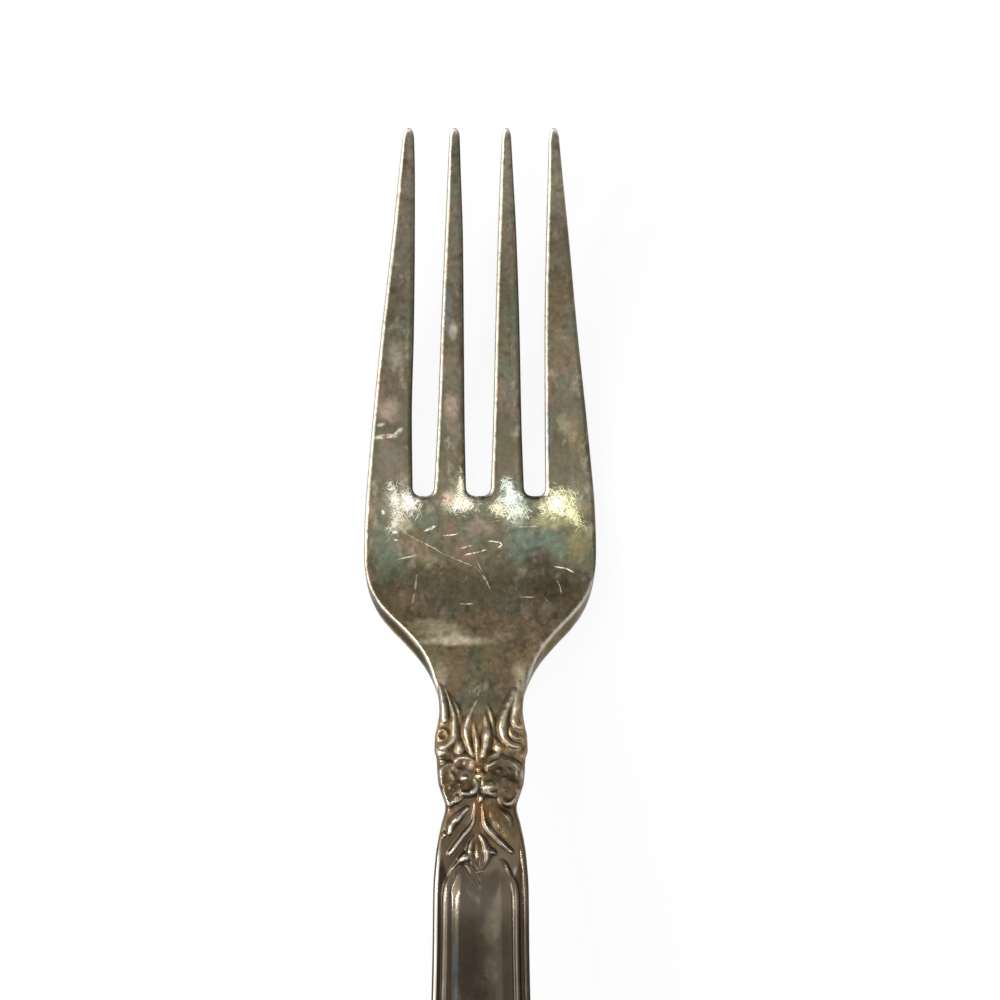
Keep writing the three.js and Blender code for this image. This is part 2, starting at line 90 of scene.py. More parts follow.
# The left and right edge of each tine as places along it. The tines are a little bent, each its own way.
TINES = {
    "left outer": (
        ((0, -8.42), (4, -8.9), (12, -9.82), (21.7, -11), (31.6, -12.04), (40, -12.78)),
        ((0, -7.31), (4, -7.22), (12, -7.27), (21.7, -7.42), (31.6, -7.68), (40, -7.6)),
    ),
    "left inner": (
        ((0, -3.4), (4, -3.62), (12, -4.02), (21.7, -4.47), (31.6, -4.84), (40, -5.3)),
        ((0, -2.33), (4, -2.22), (12, -1.98), (21.7, -1.91), (31.6, -1.84), (40, -1.68)),
    ),
    "right inner": (
        ((0, 2.32), (4, 2.1), (12, 1.8), (21.7, 1.53), (31.6, 1.3), (40, 1)),
        ((0, 3.22), (4, 3.46), (12, 3.9), (21.7, 4.24), (31.6, 4.45), (40, 4.75)),
    ),
    "right outer": (
        ((0, 7.4), (4, 7.3), (12, 7.1), (21.7, 6.97), (31.6, 7.01), (40, 7.1)),
        ((0, 8.4), (4, 8.8), (12, 9.66), (21.7, 10.6), (31.6, 11.68), (40, 12.5)),
    ),
}
HEAD_SHIFT = -0.14
SLOT_END_DEPTH = 1.1
SLOT_END_SQUARENESS = 2.6
TIP_ROUNDING = 1.0
TIP_BLUNTNESS = 0.28

# The worn bevel of a front edge, as distances in from it and heights against the face
BEVEL = ((0, -0.42), (0.12, -0.2), (0.2, -0.145), (0.36, -0.05), (0.46, -0.01), (0.55, 0))
BACK_EDGE_RADIUS = 0.5
FLANK_STEPS = 4
# How much of the painted flank shade the right flank of the head takes
RIGHT_FLANK = 0.45
EASING_REACH = 6.0
# How far in from an edge its wear and painted highlight reach
EDGE_WEAR_AND_HIGHLIGHT_REACH = 0.34
# How bright the right edge of each tine is painted, below 0 where it is painted dark as shade
TINE_RIGHT_EDGES = (-0.6, -0.6, -0.6, 0.1)
TINE_RIGHT_REACH = 0.18
# A painted highlight on the rounded ends of the tines, and how far in it reaches
TIP_HIGHLIGHT = 1.2
TIP_HIGHLIGHT_REACH = 0.7
STRIKE_EASE = 0.35
NECK_CROWN = 0.45
END_CROWN = 0.2
BACK_CROWN = 0.35
RIDGE_SOFTNESS = 1.25
EASING_SAMPLES = 9
EASING_TAPER = 0.95

# How finely the members are divided: rows along, columns across, and gaps in millimetres
TIP_ROWS = 12
TINE_ROW_GAP = 0.3
SLOT_END_ROWS = 16
ROOT_BAND = 1.0
ROOT_ROWS = 13
HEAD_ROW_GAP = 0.25
TINE_COLUMNS = 12
BEVEL_COLUMNS = 10
BACK_EDGE_COLUMNS = 7
# The largest share of the width that the columns of one edge take up
EDGE_SHARE = 0.42
NECK_ROWS = 350
NECK_COLUMNS = 130
NECK_BACK_COLUMNS = 16
HANDLE_ROWS = 220
HANDLE_END_ROWS = 64
HANDLE_BORDER_GAP = 0.05
HANDLE_COLUMNS = 16
HANDLE_BACK_COLUMNS = 8
SECTION_POINTS = 17

# The border of the handle, as distances in from its edge, then heights
RIM = ((0, 0), (0.3, 0.17), (0.42, 0.2), (0.52, 0.15), (0.64, 0))
THREAD_INSET = 1.42
THREAD_REACH = 0.4
THREAD_FOOT = 0.5
THREAD_HEIGHT = 0.26
THREAD_START = 79.0
# The thread comes out of the arch on the neck: where it rises, and its path as stations and distances across
THREAD_RISE = (80.4, 82.6)
THREAD_PATH = ((79.8, 2.45), (81, 3.1), (82.5, 3.66))
PANEL_INSET = 1.8
PANEL_SHOULDER = 1.8
PANEL_RISE = 0.34
PANEL_GAP = 0.25
PANEL_EASE = 3.4
PANEL_ARCH = ((0, 10.7), (0.95, 10.1), (2.1, 9.3), (3, 10.2), (3.8, 12.5), (12, 12.6))
GROOVE_EASE = 0.4
GROOVE_DARKNESS = 0.6
# How bright the rim and the thread are on the left and on the right; the left rim's extra brightness is a
# painted highlight
RIM_BRIGHTNESS = (0.85, 0.3)
THREAD_BRIGHTNESS = (0.4, 0.4)
BORDER_START = 76.5
BORDER_FADE = 5.0
LINE_STEEPNESS = 0.8


def between(values, slopes, i, span, t):
    """The smooth step from one value to the next at a share t of the span, with a slope at each end."""
    held = 1 - 3 * t**2 + 2 * t**3
    bend = slopes[i] * span * t * (1 - t) ** 2 - slopes[i + 1] * span * t**2 * (1 - t)
    return values[i] * held + values[i + 1] * (1 - held) + bend


def through(*stations):
    """A smooth curve through (station, value) pairs that never overshoots them. A third number is a slope."""
    at = np.array([pair[0] for pair in stations], float)
    value = np.array([pair[1] for pair in stations], float)
    rate = np.diff(value) / np.diff(at)
    same_way = rate[:-1] * rate[1:] > 0
    total = np.where(same_way, rate[:-1] + rate[1:], 1)
    slope = np.concatenate([rate[:1], np.where(same_way, 2 * rate[:-1] * rate[1:] / total, 0), rate[-1:]])
    for number, pair in enumerate(stations):
        if len(pair) > 2:
            slope[number] = pair[2]

    def curve(station):
        place = np.clip(station, at[0], at[-1])
        i = np.clip(np.searchsorted(at, place, side="right") - 1, 0, len(at) - 2)
        span = at[i + 1] - at[i]
        return between(value, slope, i, span, (place - at[i]) / span)

    return curve


half_width = through(
    (0, TIP_HALF),
    (ROOTS, HEAD_HALF - PALM_SWELL),
    (WIDEST_AT, HEAD_HALF),
    SHOULDER_TOP,
    (SHOULDER_AT, SHOULDER_HALF, SHOULDER_SLOPE),
    SHOULDER_FOOT,
    *NECK_OUTLINE,
    (HANDLE_START, STEM_HALF),
    (GRIP_AT, GRIP_HALF),
    (END_CENTRE, END_RADIUS, 0),
)
back_height = through(
    (0, 11.8, -0.5425),
    (HEEL_START, 0),
    (HEEL_END, 0),
    (NECK_START, 5),
    (ARCH_TOP, 11.5),
    (ARCH_FALL, 4.6),
    (END_FLAT, 0),
    (FORK_LENGTH, 0),
)
thickness = through(
    (0, 1.2),
    (ROOTS, 2),
    (WIDEST_AT, 2.2),
    (NECK_START, 3),
    (WAIST_AT, 3.7),
    (ARCH_TOP, 3.2),
    (FORK_LENGTH, 2.2),
)
front_easing = through((26, 0), (40, 1), (62, 1), (76, 0))
front_crown = through(
    (SHOULDER_AT, 0),
    (BLOSSOM_AT, NECK_CROWN),
    (HANDLE_START, NECK_CROWN),
    (FORK_LENGTH, END_CROWN),
)
back_crown = through((HEEL_END, 0), (NECK_START, BACK_CROWN), (ARCH_FALL, BACK_CROWN), (END_FLAT, 0))
bevel_height = through(*BEVEL)
bevel_scale = through(
    (0, 0.6),
    (10, 1),
    (ROOTS, 1),
    (51, 0.6),
    (62, 0.6),
    (WAIST_AT, 0.8),
    (HANDLE_START, 0.22),
    (FORK_LENGTH, 0.22),
)
# How strongly the left and the right front edges are marked bright by station: wear, with a painted highlight
# on the left edges of the tines and along the right shoulder
left_edge = through((0, 0.8), (42, 0.8), (49, 0.45), (57, 0.6), (63, 0.6), (66, 0.4), (80, 0.45))
right_edge = through((0, 0.2), (42, 0.1), (47, 0.2), (51, 0.75), (59, 0.75), (64, 0.35), (80, 0.45))
# How dark the flanks are painted as shade by station, below 0
painted_flank_shade = through((42, -1), (49, -0.55), (60, -0.55), (66, -0.6))
head_shift = through((ROOTS, HEAD_SHIFT), (50, HEAD_SHIFT), (56, 0))
undercut = through((NECK_START, 0), (65, UNDERCUT), (76, UNDERCUT), (HANDLE_START, 0))


def front_half_width(at):
    """The edge of a bent blank leans with it, so the front outline lies a little along from the back one."""
    step = 0.05
    slope = (back_height(at + step) - back_height(at - step)) / (2 * step)
    return half_width(at + thickness(at) * slope)


def back_half_width(at):
    """The back outline, drawn in under the lobes of the ornament so that their outline is the one seen."""
    return half_width(at) - undercut(at)


def front_height(at):
    """The front's middle line, eased along the dish so that it has no crease over the flat of the heel."""
    offsets = np.linspace(-1, 1, EASING_SAMPLES)
    weights = round_over(offsets * EASING_TAPER)
    reach = EASING_REACH * front_easing(at)
    heights = [back_height(at + reach * offset) + thickness(at + reach * offset) for offset in offsets]
    return sum(weight * height for weight, height in zip(weights, heights)) / weights.sum()


def round_over(share):
    return np.clip(1 - share**2, 0, None)


def bell(share):
    """The section of a struck ridge, round on top with a soft foot."""
    return round_over(share) ** RIDGE_SOFTNESS


def bevel_reach(at):
    return BEVEL[-1][0] * bevel_scale(at)


def bevel_drop(inset, at):
    """How far the worn bevel along a front edge falls below the face, a distance in from the edge."""
    return -bevel_scale(at) * bevel_height(inset / bevel_scale(at))


def back_rise(inset):
    """How far the rounded edge of the back lies above it, a distance in from the edge."""
    short = BACK_EDGE_RADIUS - np.clip(inset, 0, BACK_EDGE_RADIUS)
    return BACK_EDGE_RADIUS - np.sqrt(BACK_EDGE_RADIUS**2 - short**2)


def edge_wear_and_highlight(inset, at, across):
    """How much an edge is marked bright, most on the edge and none a little way in: wear, with a painted
    highlight that makes the left edges of the tines and the right shoulder brighter.
    """
    strength = np.where(across > 0, right_edge(at), left_edge(at))
    return strength * np.exp(-((inset / EDGE_WEAR_AND_HIGHLIGHT_REACH) ** 2))


BEVEL_SHARES = np.linspace(0, 1, BEVEL_COLUMNS)


def add_object(name, data):
    made = bpy.data.objects.new(name, data)
    bpy.context.scene.collection.objects.link(made)
    return made


class Shell:
    """The points and faces of one closed member, gathered sheet by sheet."""

    def __init__(self):
        self.points = []
        self.faces = []
        # The first mark holds wear together with painted highlights and painted shade
        self.marks = {"rubbed": [], "struck": [], "crested": []}

    def sheet(self, across, at, height, **marks):
        """Adds a grid of points with the faces between them, and returns the points' numbers."""
        first = len(self.points)
        self.points.extend(np.stack([across, FORK_LENGTH / 2 - at, height], -1).reshape(-1, 3).tolist())
        for name, kept in self.marks.items():
            kept.extend((np.zeros(across.shape) + marks.get(name, 0)).ravel().tolist())
        numbers = first + np.arange(across.size).reshape(across.shape)
        for line, other in zip(numbers[:-1], numbers[1:]):
            self.wall(line, other)
        return numbers

    def wall(self, line, other):
        """Adds the faces between two lines of points."""
        self.faces.extend(np.stack([line[:-1], line[1:], other[1:], other[:-1]], -1).tolist())

    def flank(self, front, back, shade_share=1.0):
        """Adds the side between a front and a back edge line, dark with painted shade, and returns its lines.
        """
        corners = np.array(self.points)
        wall_shade = painted_flank_shade(FORK_LENGTH / 2 - corners[front][:, 1]) * shade_share
        lines = [front]
        for share in np.linspace(0, 1, FLANK_STEPS + 1)[1:-1]:
            first = len(self.points)
            self.points.extend((corners[front] * (1 - share) + corners[back] * share).tolist())
            for name, kept in self.marks.items():
                kept.extend((wall_shade * (name == "rubbed")).tolist())
            lines.append(first + np.arange(len(front)))
        lines.append(back)
        for line, other in zip(lines, lines[1:]):
            self.wall(line, other)
        return np.array(lines)

    def cap(self, *lines):
        """Adds one flat face round some lines of points."""
        self.faces.append(np.concatenate(lines).tolist())

    def piece(self, name):
        """Makes the member's object, with its doubled points welded."""
        mesh = bpy.data.meshes.new(name)
        mesh.from_pydata(np.array(self.points) * MM, [], self.faces)
        for label, kept in self.marks.items():
            layer = mesh.attributes.new(label, "FLOAT", "POINT")
            layer.data.foreach_set("value", kept)
        work = bmesh.new()
        work.from_mesh(mesh)
        bmesh.ops.remove_doubles(work, verts=work.verts, dist=WELD * MM)
        bmesh.ops.recalc_face_normals(work, faces=work.faces)
        work.to_mesh(mesh)
        work.free()
        mesh.shade_smooth()
        mesh.set_sharp_from_angle(angle=math.radians(SHARP_ANGLE))
        return add_object(name, mesh)


# The head and its tines


tine_sides = [[through(*side) for side in sides] for sides in TINES.values()]


def tine_edges(at, number):
    """The left and right edge of a tine, with the slots closing in a flattened round at the roots."""
    past = np.clip((at - ROOTS + SLOT_END_DEPTH) / SLOT_END_DEPTH, 0, 1)
    closing = (1 - past**SLOT_END_SQUARENESS) ** (1 / SLOT_END_SQUARENESS)
    low, high = (side(at) for side in tine_sides[number])
    if number > 0:
        slot_middle = (tine_sides[number - 1][1](at) + low) / 2
        low = slot_middle + (low - slot_middle) * closing
    if number < len(tine_sides) - 1:
        slot_middle = (tine_sides[number + 1][0](at) + high) / 2
        high = slot_middle + (high - slot_middle) * closing
    short = np.clip(1 - at / TIP_ROUNDING, 0, None)
    fullness = np.sqrt(1 - short**2 * (1 - TIP_BLUNTNESS**2))
    middle, half = (low + high) / 2, (high - low) / 2 * fullness
    return middle - half, middle + half


def spread(low, high, radius, columns=TINE_COLUMNS):
    """Columns between two edges, row by row, closer together across the rounding of each edge."""
    radius = np.minimum(radius, EDGE_SHARE * (high - low))
    rim = radius[:, None] * BEVEL_SHARES
    inner = np.linspace(0, 1, columns + 1)[1:-1]
    face = (low + radius)[:, None] * (1 - inner) + (high - radius)[:, None] * inner
    return np.hstack([low[:, None] + rim, face, (high[:, None] - rim)[:, ::-1]])


def inset_from(across, at, edges):
    """How far each place lies in from the nearest of some edge lines, each a list of places."""
    lines = np.concatenate(edges)
    tree = KDTree(len(lines))
    for number, (x, station) in enumerate(lines):
        tree.insert((x, station, 0), number)
    tree.balance()
    ends = np.cumsum([len(edge) for edge in edges])
    before = np.maximum(np.arange(len(lines)) - 1, 0)
    before[ends[:-1]] = ends[:-1]
    after = np.minimum(np.arange(len(lines)) + 1, len(lines) - 1)
    after[ends - 1] = ends - 1
    places = np.stack([across.ravel(), at.ravel()], -1)
    nearest = np.array([tree.find((x, station, 0))[1] for x, station in places])
    gaps = []
    for neighbour in (before, after):
        start = lines[nearest]
        run = lines[neighbour[nearest]] - start
        length = np.maximum((run**2).sum(-1), TINY)
        share = np.clip(((places - start) * run).sum(-1) / length, 0, 1)
        gaps.append(np.linalg.norm(places - start - share[:, None] * run, axis=-1))
    return np.minimum(*gaps).reshape(across.shape)


def head_and_tines():
    """One shell for the head and its four tines: front and back sheets with a wall round every edge."""
    tip = TIP_ROUNDING * np.linspace(0, 1, TIP_ROWS) ** 2
    shaft = np.arange(TIP_ROUNDING + TINE_ROW_GAP, ROOTS - SLOT_END_DEPTH, TINE_ROW_GAP)
    slot_end = ROOTS - SLOT_END_DEPTH * (1 - np.sin(np.linspace(0, math.pi / 2, SLOT_END_ROWS)))
    tine_rows = np.concatenate([tip, shaft, slot_end])
    tine_rim = bevel_reach(tine_rows)
    tines = [spread(*tine_edges(tine_rows, number), tine_rim) for number in range(len(TINES))]
    roots = np.concatenate([tine[-1] for tine in tines])
    head_rows = np.concatenate([
        ROOTS + np.linspace(0, ROOT_BAND, ROOT_ROWS),
        np.arange(ROOTS + ROOT_BAND + HEAD_ROW_GAP, NECK_START, HEAD_ROW_GAP),
        [NECK_START],
    ])
    rim = bevel_reach(head_rows)
    inner = roots[len(BEVEL_SHARES) : -len(BEVEL_SHARES)]
    inner_shares = (inner - roots[0] - rim[0]) / (roots[-1] - roots[0] - 2 * rim[0])

    def head_columns(outline):
        width = outline(head_rows)
        steep = np.hypot(1, np.gradient(width, head_rows))
        steep[0] = 1
        low, high = head_shift(head_rows) - width, head_shift(head_rows) + width
        low[0], high[0] = roots[0], roots[-1]
        left, right = (side[:, None] + (steep * rim)[:, None] * BEVEL_SHARES * inward
                       for side, inward in ((low, 1), (high, -1)))
        face = left[:, -1:] * (1 - inner_shares) + right[:, -1:] * inner_shares
        return np.hstack([left, face, right[:, ::-1]])

    shell = Shell()
    plans = [(tine, tine, tine_rows) for tine in tines]
    plans.append((head_columns(front_half_width), head_columns(half_width), head_rows))
    for number, (front_across, back_across, rows) in enumerate(plans):
        at = np.repeat(rows[:, None], front_across.shape[1], 1)
        fronts, backs = ([plan[face] for plan in plans] for face in (0, 1))
        front_inset = inset_from(front_across, at, edge_lines(fronts, tine_rows, head_rows))
        back_inset = inset_from(back_across, at, edge_lines(backs, tine_rows, head_rows))
        face = body_heights(front_across, at, front_inset, True)
        rear = body_heights(back_across, at, back_inset, False)
        wear_light_mark = edge_wear_and_highlight(front_inset, at, front_across)
        if number < len(tines):
            # The right edge of each tine has its own painted brightness, below 0 painted shade, and the tips
            # get a painted highlight
            right_half = front_across > (front_across[:, :1] + front_across[:, -1:]) / 2
            strength = np.where(right_half, TINE_RIGHT_EDGES[number], left_edge(at))
            reach = np.where(right_half, TINE_RIGHT_REACH, EDGE_WEAR_AND_HIGHLIGHT_REACH)
            wear_light_mark = strength * np.exp(-((front_inset / reach) ** 2))
            wear_light_mark = wear_light_mark + TIP_HIGHLIGHT * np.exp(-((at / TIP_HIGHLIGHT_REACH) ** 2))
        front = shell.sheet(front_across, at, face, rubbed=wear_light_mark)
        back = shell.sheet(back_across, at, rear, rubbed=edge_wear_and_highlight(back_inset, at, back_across))
        left = shell.flank(front[:, 0], back[:, 0])
        right = shell.flank(front[:, -1], back[:, -1], 1.0 if number < len(tines) else RIGHT_FLANK)
        if number < len(tines):
            shell.flank(front[0], back[0])
        else:
            shell.cap(front[-1], right[1:-1, -1], back[-1][::-1], left[1:-1, -1][::-1])
    return shell.piece("head_and_tines")


def edge_lines(plans, tine_rows, head_rows):
    """The edge lines of the head and its tines in plan."""
    *tines, head = plans
    lines = []
    for tine in tines:
        lines.extend(np.stack([tine[:, side], tine_rows], -1) for side in (0, -1))
        lines.append(np.stack([tine[0], np.full(tine.shape[1], tine_rows[0])], -1))
    lines.extend(np.stack([head[:, side], head_rows], -1) for side in (0, -1))
    return lines


# The neck and the handle


panel_top = through(*PANEL_ARCH)


def eased(share):
    share = np.clip(share, 0, 1)
    return share**2 * (3 - 2 * share)


rim_height = through(*RIM)


def border_fade(at):
    return eased((at - BORDER_START) / BORDER_FADE)


def thread_fade(at):
    return eased((at - THREAD_START) / (HANDLE_START - THREAD_START))


thread_across = through(*THREAD_PATH, (HANDLE_START, front_half_width(HANDLE_START) - THREAD_INSET))


def thread_gap(inset, across, at):
    """How far a place lies from the middle of the thread."""
    return np.where(at < HANDLE_START, np.abs(across) - thread_across(at), inset - THREAD_INSET)


def border_height(inset, across, at):
    """The rim, the thread and the swelling panel of the handle's front, a distance in from the edge."""
    below_arch = eased((at - BLOSSOM_AT - panel_top(np.abs(across)) - PANEL_GAP) / PANEL_EASE)
    panel = PANEL_RISE * round_over(1 - np.clip((inset - PANEL_INSET) / PANEL_SHOULDER, 0, 1))
    risen = eased((at - THREAD_RISE[0]) / (THREAD_RISE[1] - THREAD_RISE[0]))
    thread = THREAD_HEIGHT * bell(thread_gap(inset, across, at) / THREAD_FOOT) * risen
    return rim_height(inset) * border_fade(at) + panel * below_arch + thread


def border_wear_and_highlight(inset, at, across):
    """The rim and thread are bright with wear, the left rim brightest with a painted highlight. The grooves
    beside them are dark, below 0.
    """
    rim = rim_height(inset) / RIM[2][1]
    thread = bell(thread_gap(inset, across, at) / THREAD_REACH) * thread_fade(at)
    ends_at = RIM[-1][0] + (PANEL_INSET - RIM[-1][0]) * thread_fade(at)
    grooved = eased((ends_at + GROOVE_EASE - inset) / GROOVE_EASE)
    rim = rim * (np.where(across < 0, *RIM_BRIGHTNESS) + GROOVE_DARKNESS)
    thread = thread * (np.where(across < 0, *THREAD_BRIGHTNESS) + GROOVE_DARKNESS)
    border = grooved * (np.maximum(rim, thread) - GROOVE_DARKNESS)
    return edge_wear_and_highlight(inset, at, across) * (1 - border_fade(at)) + border * border_fade(at)


def body_heights(across, at, inset, front):
    """The height of the front or back of any member."""
    if not front:
        share = across / half_width(at)
        return back_height(at) + back_crown(at) * share**2 + back_rise(inset)
    share = across / front_half_width(at)
    face = front_height(at) - front_crown(at) * share**2
    return face + border_height(inset, across, at) - bevel_drop(inset, at)


def neck_blank():
    """The neck before its ornament is struck, with a fine grid on its front."""
    rows = np.linspace(NECK_START, HANDLE_START, NECK_ROWS)
    shell = Shell()
    sheets = []
    for outline, radius, columns in (
        (front_half_width, bevel_reach(rows), NECK_COLUMNS),
        (back_half_width, np.full(len(rows), BACK_EDGE_RADIUS), NECK_BACK_COLUMNS),
    ):
        facing = outline is front_half_width
        width = outline(rows)
        across = spread(-width, width, radius, columns)
        at = np.repeat(rows[:, None], across.shape[1], 1)
        inset = width[:, None] - np.abs(across)
        height = body_heights(across, at, inset, facing)
        wear_light_mark = (border_wear_and_highlight if facing else edge_wear_and_highlight)(inset, at, across)
        struck = eased(inset / STRIKE_EASE) * facing
        crested = 1 - thread_fade(at)
        if facing:
            for x, along, half_across, half_along, rise in MOUNDS.values():
                away = ((across - x) / half_across) ** 2 + ((at - BLOSSOM_AT - along) / half_along) ** 2
                height = height + rise * np.exp(-away) * struck
        sheets.append(shell.sheet(across, at, height, rubbed=wear_light_mark, struck=struck, crested=crested))
    front, back = sheets
    left, right = (shell.flank(front[:, side], back[:, side]) for side in (0, -1))
    for end in (0, -1):
        shell.cap(front[end], right[1:-1, end], back[end][::-1], left[1:-1, end][::-1])
    return shell.piece("ornamented_neck")


def handle_blank():
    """The handle as two strips that run down the left side, round the end and up the right side."""
    straight = np.linspace(HANDLE_START, END_CENTRE, HANDLE_ROWS)
    turns = np.linspace(0, math.pi, HANDLE_END_ROWS)[1:-1]
    rows = np.concatenate([straight, np.full(len(turns), END_CENTRE), straight[::-1]])
    turn = np.concatenate([np.zeros(len(straight)), turns, np.full(len(straight), math.pi)])
    bevel = bevel_reach(HANDLE_START) * BEVEL_SHARES
    border = np.arange(bevel[-1], PANEL_INSET, HANDLE_BORDER_GAP)[1:]
    rounding = BACK_EDGE_RADIUS * (1 - np.cos(np.linspace(0, math.pi / 2, BACK_EDGE_COLUMNS)))
    shell = Shell()
    strips = []
    for outline, rim, steps in (
        (front_half_width, np.concatenate([bevel, border]), HANDLE_COLUMNS),
        (half_width, rounding, HANDLE_BACK_COLUMNS),
    ):
        facing = outline is front_half_width
        width = outline(rows)[:, None]
        panel = rim[-1] + (width - rim[-1]) * np.linspace(0, 1, steps + 1)[1:]
        inset = np.hstack([np.repeat(rim[None], len(rows), 0), panel])
        reach = width - inset
        across = -reach * np.cos(turn)[:, None]
        at = rows[:, None] + reach * np.sin(turn)[:, None]
        height = body_heights(across, at, inset, facing)
        wear_light_mark = (border_wear_and_highlight if facing else edge_wear_and_highlight)(inset, at, across)
        strips.append(shell.sheet(across, at, height, rubbed=wear_light_mark))
    front, back = strips
    rim = shell.flank(front[:, 0], back[:, 0])
    shell.cap(front[0], front[-1][::-1], rim[1:-1, -1], back[-1], back[0][::-1], rim[1:-1, 0][::-1])
    return shell.piece("bordered_handle")


def add_node(tree, kind, inputs=None, **settings):
    """Adds one node with its settings. Each input is a value, an output, a node, which stands for its first
    output, or a list of these."""
    node = tree.nodes.new(kind)
    for name, value in settings.items():
        setattr(node, name, value)
    for name, value in (inputs or {}).items():
        for source in value if isinstance(value, list) else [value]:
            if isinstance(source, bpy.types.Node):
                source = source.outputs[0]
            if isinstance(source, bpy.types.NodeSocket):
                tree.links.new(source, node.inputs[name])
            else:
                node.inputs[name].default_value = source
    return node


# The ornament struck into the neck, across and along from the row of blossoms. A line has its bends, then
# its half width at the start, middle and end. A swelling has its place, half sizes, height and turn.
ORNAMENT_LINES = {
    "left scroll": (((-4.05, -9.6), (-3.41, -8.1), (-2.98, -6.66), (-2.92, -5.2), (-3, -4), (-3.9, -3.15),
                     (-4.8, -2.75)), (0.08, 0.46, 0.7)),
    "left scroll band": (((-4.5, -9.8), (-4.15, -7.6), (-3.95, -5.5)), (0.2, 0.62, 0.5)),
    "left scroll fold": (((-3.3, -8.6), (-2.5, -7.1), (-2.2, -5.4)), (0.05, 0.3, 0.1)),
    "left volute": (((-3.68, -4.3), (-3.84, -4.7), (-4.24, -4.86), (-4.64, -4.7), (-4.8, -4.3), (-4.64, -3.9),
                     (-4.24, -3.74), (-3.84, -3.9), (-3.68, -4.3), (-3.84, -4.7)), (0.24, 0.24, 0.24)),
    "right scroll": (((3.75, -9.4), (3.03, -7.75), (2.48, -6.3), (2.3, -5.2), (2.5, -4.1), (3.05, -3.4),
                      (4.5, -2.9)), (0.3, 0.66, 0.32)),
    "right scroll edge": (((4.3, -10.2), (3.95, -8), (3.75, -6.8), (3.65, -5.85), (3.9, -5.3), (4.6, -5)),
                          (0.15, 0.46, 0.36)),
    "right volute": (((3.35, -5.3), (3.3, -4.5), (3.75, -3.98), (4.6, -4)), (0.2, 0.36, 0.25)),
    "bud left petal": (((0.2, -10.4), (-0.5, -8.1), (-1.25, -6.5), (-1.68, -4.95), (-1.5, -3.8),
                        (-0.8, -1.8)), (0.12, 0.42, 0.5)),
    "bud right petal": (((0.35, -6.9), (0.66, -5.7), (0.72, -4.5), (0.45, -2.9), (0.1, -1.6)),
                        (0.05, 0.62, 0.42)),
    "bud vein": (((-0.75, -5.8), (-0.45, -3.4), (-0.3, -1.1)), (0.06, 0.44, 0.3)),
    "sepal": (((0.6, -8), (1.2, -6.3), (1.5, -4.2)), (0.04, 0.26, 0.08)),
    "small leaf": (((1.75, -1.8), (1.85, -2.9), (1.45, -4.2)), (0.4, 0.56, 0.05)),
    "small leaf tip": (((1.85, -2.3), (2.35, -3.7)), (0.35, 0.42, 0.05)),
    "small leaf foot": (((0.65, -1.6), (1.3, -2.1), (2, -2.5)), (0.12, 0.46, 0.5)),
    "left ribbon": (((-0.6, 2.8), (-0.7, 4.2), (-0.88, 5.15), (-2, 6.67), (-3.5, 8.7)), (0.1, 0.4, 0.34)),
    "right ribbon": (((0.2, 2.8), (0.3, 4.3), (0.52, 5.3), (1.9, 7), (3.5, 8.5)), (0.1, 0.4, 0.28)),
    "left leaf edge": (((-1.25, 3.4), (-2.4, 4.5), (-3.3, 5.6), (-3.45, 6.6)), (0.3, 0.66, 0.4)),
    "right leaf edge": (((1.3, 3.1), (2.4, 4.1), (3.15, 5.05), (3.25, 6.5)), (0.06, 0.44, 0.1)),
    "left top rim": (((-2.89, -1.2), (-2.55, -1.75), (-1.69, -1.9), (-0.98, -1.6), (-0.92, -1.06)),
                     (0.4, 0.6, 0.4)),
    "left side rim": (((-4.05, -0.8), (-4.3, -0.2), (-4.35, 0.51), (-4.15, 1.1)), (0.25, 0.4, 0.2)),
    "left foot rim": (((-4.05, 1.94), (-3.9, 2.6), (-3.42, 3.1), (-2.77, 2.6), (-2.47, 2.06)),
                      (0.25, 0.5, 0.3)),
    "left inner rim": (((-2.3, 1.75), (-1.9, 2), (-1.1, 1.95), (-0.55, 1.45), (-0.42, 0.75), (-0.74, 0.27)),
                       (0.35, 0.62, 0.3)),
    "right leaf rim": (((0.57, -0.8), (1.52, -1.4), (2.48, -1.87)), (0.46, 0.5, 0.25)),
    "right top rim": (((2.3, -1.8), (3.15, -1.5), (3.8, -1), (4.05, -0.32), (4, 0.39)), (0.2, 0.44, 0.25)),
    "right inner rim": (((0.2, 0.95), (0.5, 1.5), (1.28, 2), (1.88, 1.7)), (0.6, 0.62, 0.25)),
    "right foot rim": (((1.88, 2.3), (2.36, 3), (3.15, 3.1), (3.7, 2.5), (3.9, 1.83)), (0.25, 0.52, 0.25)),
    "pendant left petal": (((-0.44, 6.14), (-1, 7.06), (-1.2, 8.19), (-0.95, 9.32), (-0.39, 10.45)),
                           (0.04, 0.5, 0.12)),
    "pendant right petal": (((-0.33, 6.14), (0.18, 6.86), (0.53, 7.9), (0.64, 8.9), (0.12, 10.35)),
                            (0.04, 0.58, 0.12)),
    "pendant left lobe": (((-1.15, 8.3), (-1.75, 8.95), (-2.55, 9.2)), (0.35, 0.72, 0.3)),
    "pendant right lobe": (((0.65, 8.05), (1.24, 8.35), (1.8, 8.52)), (0.3, 0.44, 0.12)),
    "left arch": (((0, 12.2), (-0.39, 11.58), (-0.9, 10.66), (-1.42, 9.73), (-2.15, 9.35), (-2.95, 9.95),
                   (-3.42, 11.1), (-3.64, 12)), (0.08, 0.34, 0.05)),
    "right arch": (((1.9, 8.95), (2.55, 9.45), (3.05, 10.5), (3.45, 11.3), (3.64, 12)), (0.05, 0.3, 0.05)),
}
